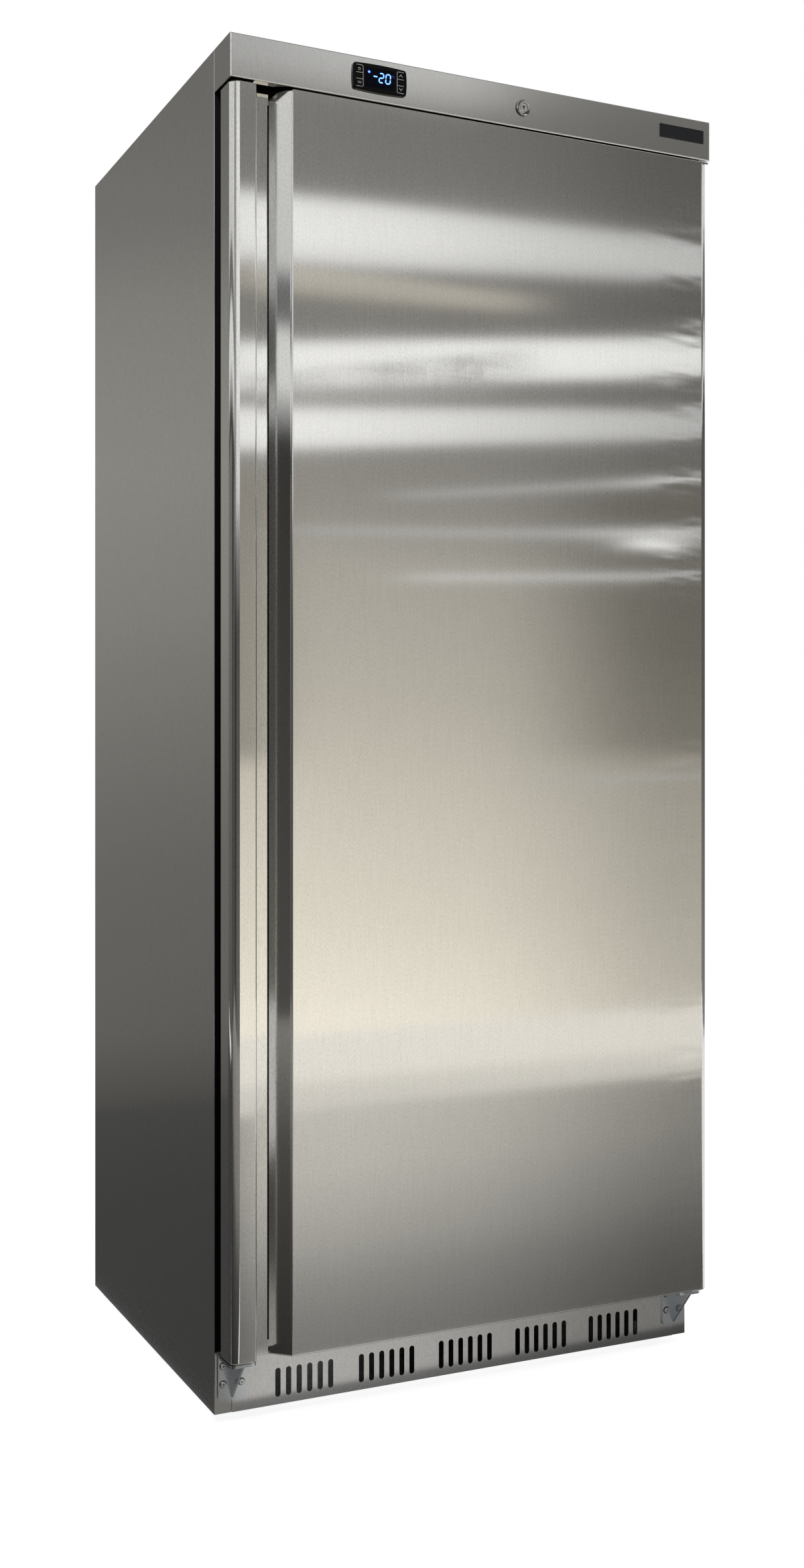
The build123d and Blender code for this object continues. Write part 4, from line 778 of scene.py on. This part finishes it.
strip("card_strip_middle", 2052, 2245, 2308, 2482, up=((0.0, 0.95), (1.0, 1.0)),
      across=((0.0, 0.97), (0.5, 1.0), (0.85, 0.9)), power=1.46, soft=(0.03, 0.2))
strip("card_strip_low", 1858, 2042, 2076, 2208, up=((0.0, 0.95), (1.0, 1.0)),
      across=((0.0, 1.0), (0.2, 0.97), (0.5, 0.78), (0.85, 0.56)), power=1.42, soft=(0.03, 0.24))
strip("card_between", 2010, 2110, 2150, 2330, x1=1750, up=((0.0, warm(1.0, 0.4)), (1.0, warm(1.0, 0.4))),
      across=((0.0, 1.0), (1.0, 0.7)), power=0.58, soft=(0.2, 0.1))
strip("card_fascia", 3105, 3500, 3105, 3500, x0=380, x1=1670, up=((0.0, 1.0), (1.0, 1.0)),
      across=((0.0, 0.5), (0.35, 0.75), (0.75, 1.0)), power=0.9, soft=(0.03, 0.05))
strip("card_beige", 2385, 2530, 2440, 2520, x0=560, x1=1900, up=((0.0, warm(0.75)), (1.0, warm(1.0))),
      power=0.82, soft=(0.2, 0.3))
strip("card_thin", 1756, 1784, 1920, 1958, x0=1150, x1=2650, up=((0.0, 1.0), (1.0, 1.0)),
      across=((0.0, 0.45), (0.6, 0.55), (0.85, 1.0)), power=1.5, soft=(0.1, 0.3))
strip("card_thin_long", 1622, 1652, 1704, 1750, x0=750, x1=2620, up=((0.0, 1.0), (1.0, 1.0)),
      across=((0.0, 0.6), (0.6, 0.65), (0.8, 1.0)), power=1.15, soft=(0.1, 0.3))
strip("card_window", 1650, 1690, 1652, 1692, x0=2140, x1=2390, up=((0.0, 1.0), (1.0, 1.0)),
      power=2.1, soft=(0.15, 0.25))
strip("card_ledge", 1490, 1520, 1556, 1590, x0=1200, x1=2620, up=((0.0, 1.0), (1.0, 1.0)),
      power=1.0, soft=(0.1, 0.3))
strip("card_sill", 806, 826, 830, 858, x0=1750, x1=2620, up=((0.0, 1.0), (1.0, 1.0)),
      power=0.66, soft=(0.2, 0.3))
strip("card_post", 850, 1880, 850, 1880, x0=480, x1=860, up=((0.0, warm(1.0)), (1.0, warm(0.9))),
      power=0.42, soft=(0.25, 0.1))
card("card_floor_far", ((450, -3345, 2), (2900, -3345, 2), (2300, -2250, 2), (200, -2250, 2)),
     up=((0.0, warm(1.0, 0.6)), (0.62, warm(1.0, 0.6)), (0.74, warm(0.84, 0.6)), (1.0, warm(0.8, 0.6))),
     across=((0.0, 1.0), (0.4, 1.0), (1.0, 0.88)), power=1.2, soft=(0.0, 0.0))
card("card_floor_near", ((200, -2250, 2), (2300, -2250, 2), (470, -250, 2), (-470, -250, 2)),
     up=((0.0, warm(0.84, 0.6)), (0.296, warm(0.77, 0.6)), (0.439, warm(0.66, 0.5)),
         (0.554, warm(0.56, 0.5)), (0.659, warm(0.42, 0.4)), (0.745, warm(0.34, 0.4)),
         (0.812, warm(0.3, 0.4)), (0.855, warm(0.66, 0.3)), (0.9475, warm(0.66, 0.3)), (0.953, 0.25),
         (1.0, 0.15)),
     across=((0.0, 0.45), (0.04, 0.5), (0.09, 1.0), (0.2, 1.0), (0.4, 0.86), (0.5, 0.72), (0.6, 0.57),
             (0.7, 0.45), (1.0, 0.35)),
     power=1.0, soft=(0.0, 0.0))
card("card_return", ((-470, -590, 4), (-257, -590, 4), (-363.5, -281, 4), (-470, -281, 4)),
     up=((0.0, warm(0.3, 0.4)), (1.0, warm(0.26, 0.4))), power=1.0, soft=(0.0, 0.0))

# The dim room on the camera's side, with the same rows of ceiling light: it darkens the grip.
card("card_left_wall", ((-6000, -3350, 0), (420, -3350, 0), (420, -3350, 3500), (-6000, -3350, 3500)),
     up=((0.0, warm(0.16, 0.5)), (0.38, warm(0.10, 0.5)), (0.45, warm(0.3, 0.3)), (0.50, 0.8), (0.58, 1.0),
         (0.78, 1.0), (0.92, 0.8), (1.0, 0.5)),
     across=((0.0, 0.2), (0.5, 0.25), (0.64, 0.6), (0.74, 1.0), (1.0, 1.0)), power=1.15, soft=(0.0, 0.0))
card("card_left_side", ((-3600, 2600, 0), (-3600, -3350, 0), (-3600, -3350, 3600), (-3600, 2600, 3600)),
     up=((0.0, warm(0.10, 0.5)), (0.56, warm(0.05, 0.5)), (0.60, 0.7), (0.61, 1.0), (0.66, 1.0),
         (0.675, 0.2), (0.71, 0.2), (0.73, 0.85), (0.9, 0.9), (1.0, 0.8)), power=1.0, soft=(0.0, 0.0))
card("card_right_side", ((3300, -3350, 0), (3300, 2600, 0), (3300, 2600, 3600), (3300, -3350, 3600)),
     up=((0.0, warm(0.3, 0.5)), (0.3, warm(0.14, 0.5)), (0.59, 0.1), (0.605, 0.9), (0.634, 0.9),
         (0.648, 0.2), (0.72, 0.25), (0.74, 0.95), (0.86, 0.95), (0.9, 0.3), (1.0, 0.3)),
     power=1.0, soft=(0.0, 0.0))
card("card_ceiling", ((-3600, -3350, 3600), (3300, -3350, 3600), (3300, 1800, 3600), (-3600, 1800, 3600)),
     up=((0.0, 0.3), (1.0, 0.4)), power=1.0, soft=(0.0, 0.0))
card("card_left_floor", ((-3600, -3350, 2), (450, -3350, 2), (-470, -340, 2), (-3600, -340, 2)),
     up=((0.0, warm(0.4, 0.5)), (0.6, warm(0.28, 0.5)), (0.78, warm(0.1, 0.5)), (1.0, warm(0.03, 0.5))),
     power=1.0, soft=(0.0, 0.0))
# Lighter parts of that side, before and behind the narrow dark part that the handle's slope shows.
for name, back_y, front_y in (("card_left_far", 2600, -1250), ("card_left_near", -2350, -3350)):
    card(name, ((-3590, back_y, 0), (-3590, front_y, 0), (-3590, front_y, 2000), (-3590, back_y, 2000)),
         up=((0.0, warm(0.13, 0.4)), (1.0, warm(0.24, 0.4))), power=1.0, soft=(0.1, 0.04))
card("card_back_wall", ((-3200, 1800, 0), (-350, 1800, 0), (-350, 1800, 3000), (-3200, 1800, 3900)),
     up=((0.0, warm(0.24, 0.5)), (0.06, warm(0.38, 0.5)), (0.2, warm(0.44, 0.5)), (0.27, warm(0.52, 0.5)),
         (0.36, warm(0.64, 0.5)), (0.41, warm(0.72, 0.5)), (0.52, warm(0.8, 0.5)), (0.60, warm(0.72, 0.5)),
         (0.66, warm(0.64, 0.5)), (0.72, warm(0.48, 0.5)), (0.82, warm(0.4, 0.5))),
     power=0.46, soft=(0.0, 0.0))
card("card_back_floor", ((-3200, -330, 2), (-395, -330, 2), (-395, 1800, 2), (-3200, 1800, 2)),
     up=((0.0, 0.7), (0.5, 0.8), (1.0, 1.0)), power=0.09, soft=(0.0, 0.0))


# ---------------------------------------------------------------- lamps
def lamp(name, place, target, size, power):
    light = bpy.data.lights.new(name, "AREA")
    light.shape = "DISK"
    light.size = size
    light.energy = power
    piece = bpy.data.objects.new(name, light)
    piece.location = place
    piece.rotation_euler = (Vector(target) - Vector(place)).to_track_quat("-Z", "Y").to_euler()
    link(piece)
    return piece


lamp("key", (-2.0, -3.0, 4.2), (0.0, 0.0, 1.0), 2.2, 100.0)
lamp("fill", (4.6, -1.6, 2.6), (0.0, 0.0, 0.9), 2.6, 60.0)
lamp("rim", (-1.2, 3.4, 3.2), (0.0, 0.2, 1.0), 2.4, 45.0)
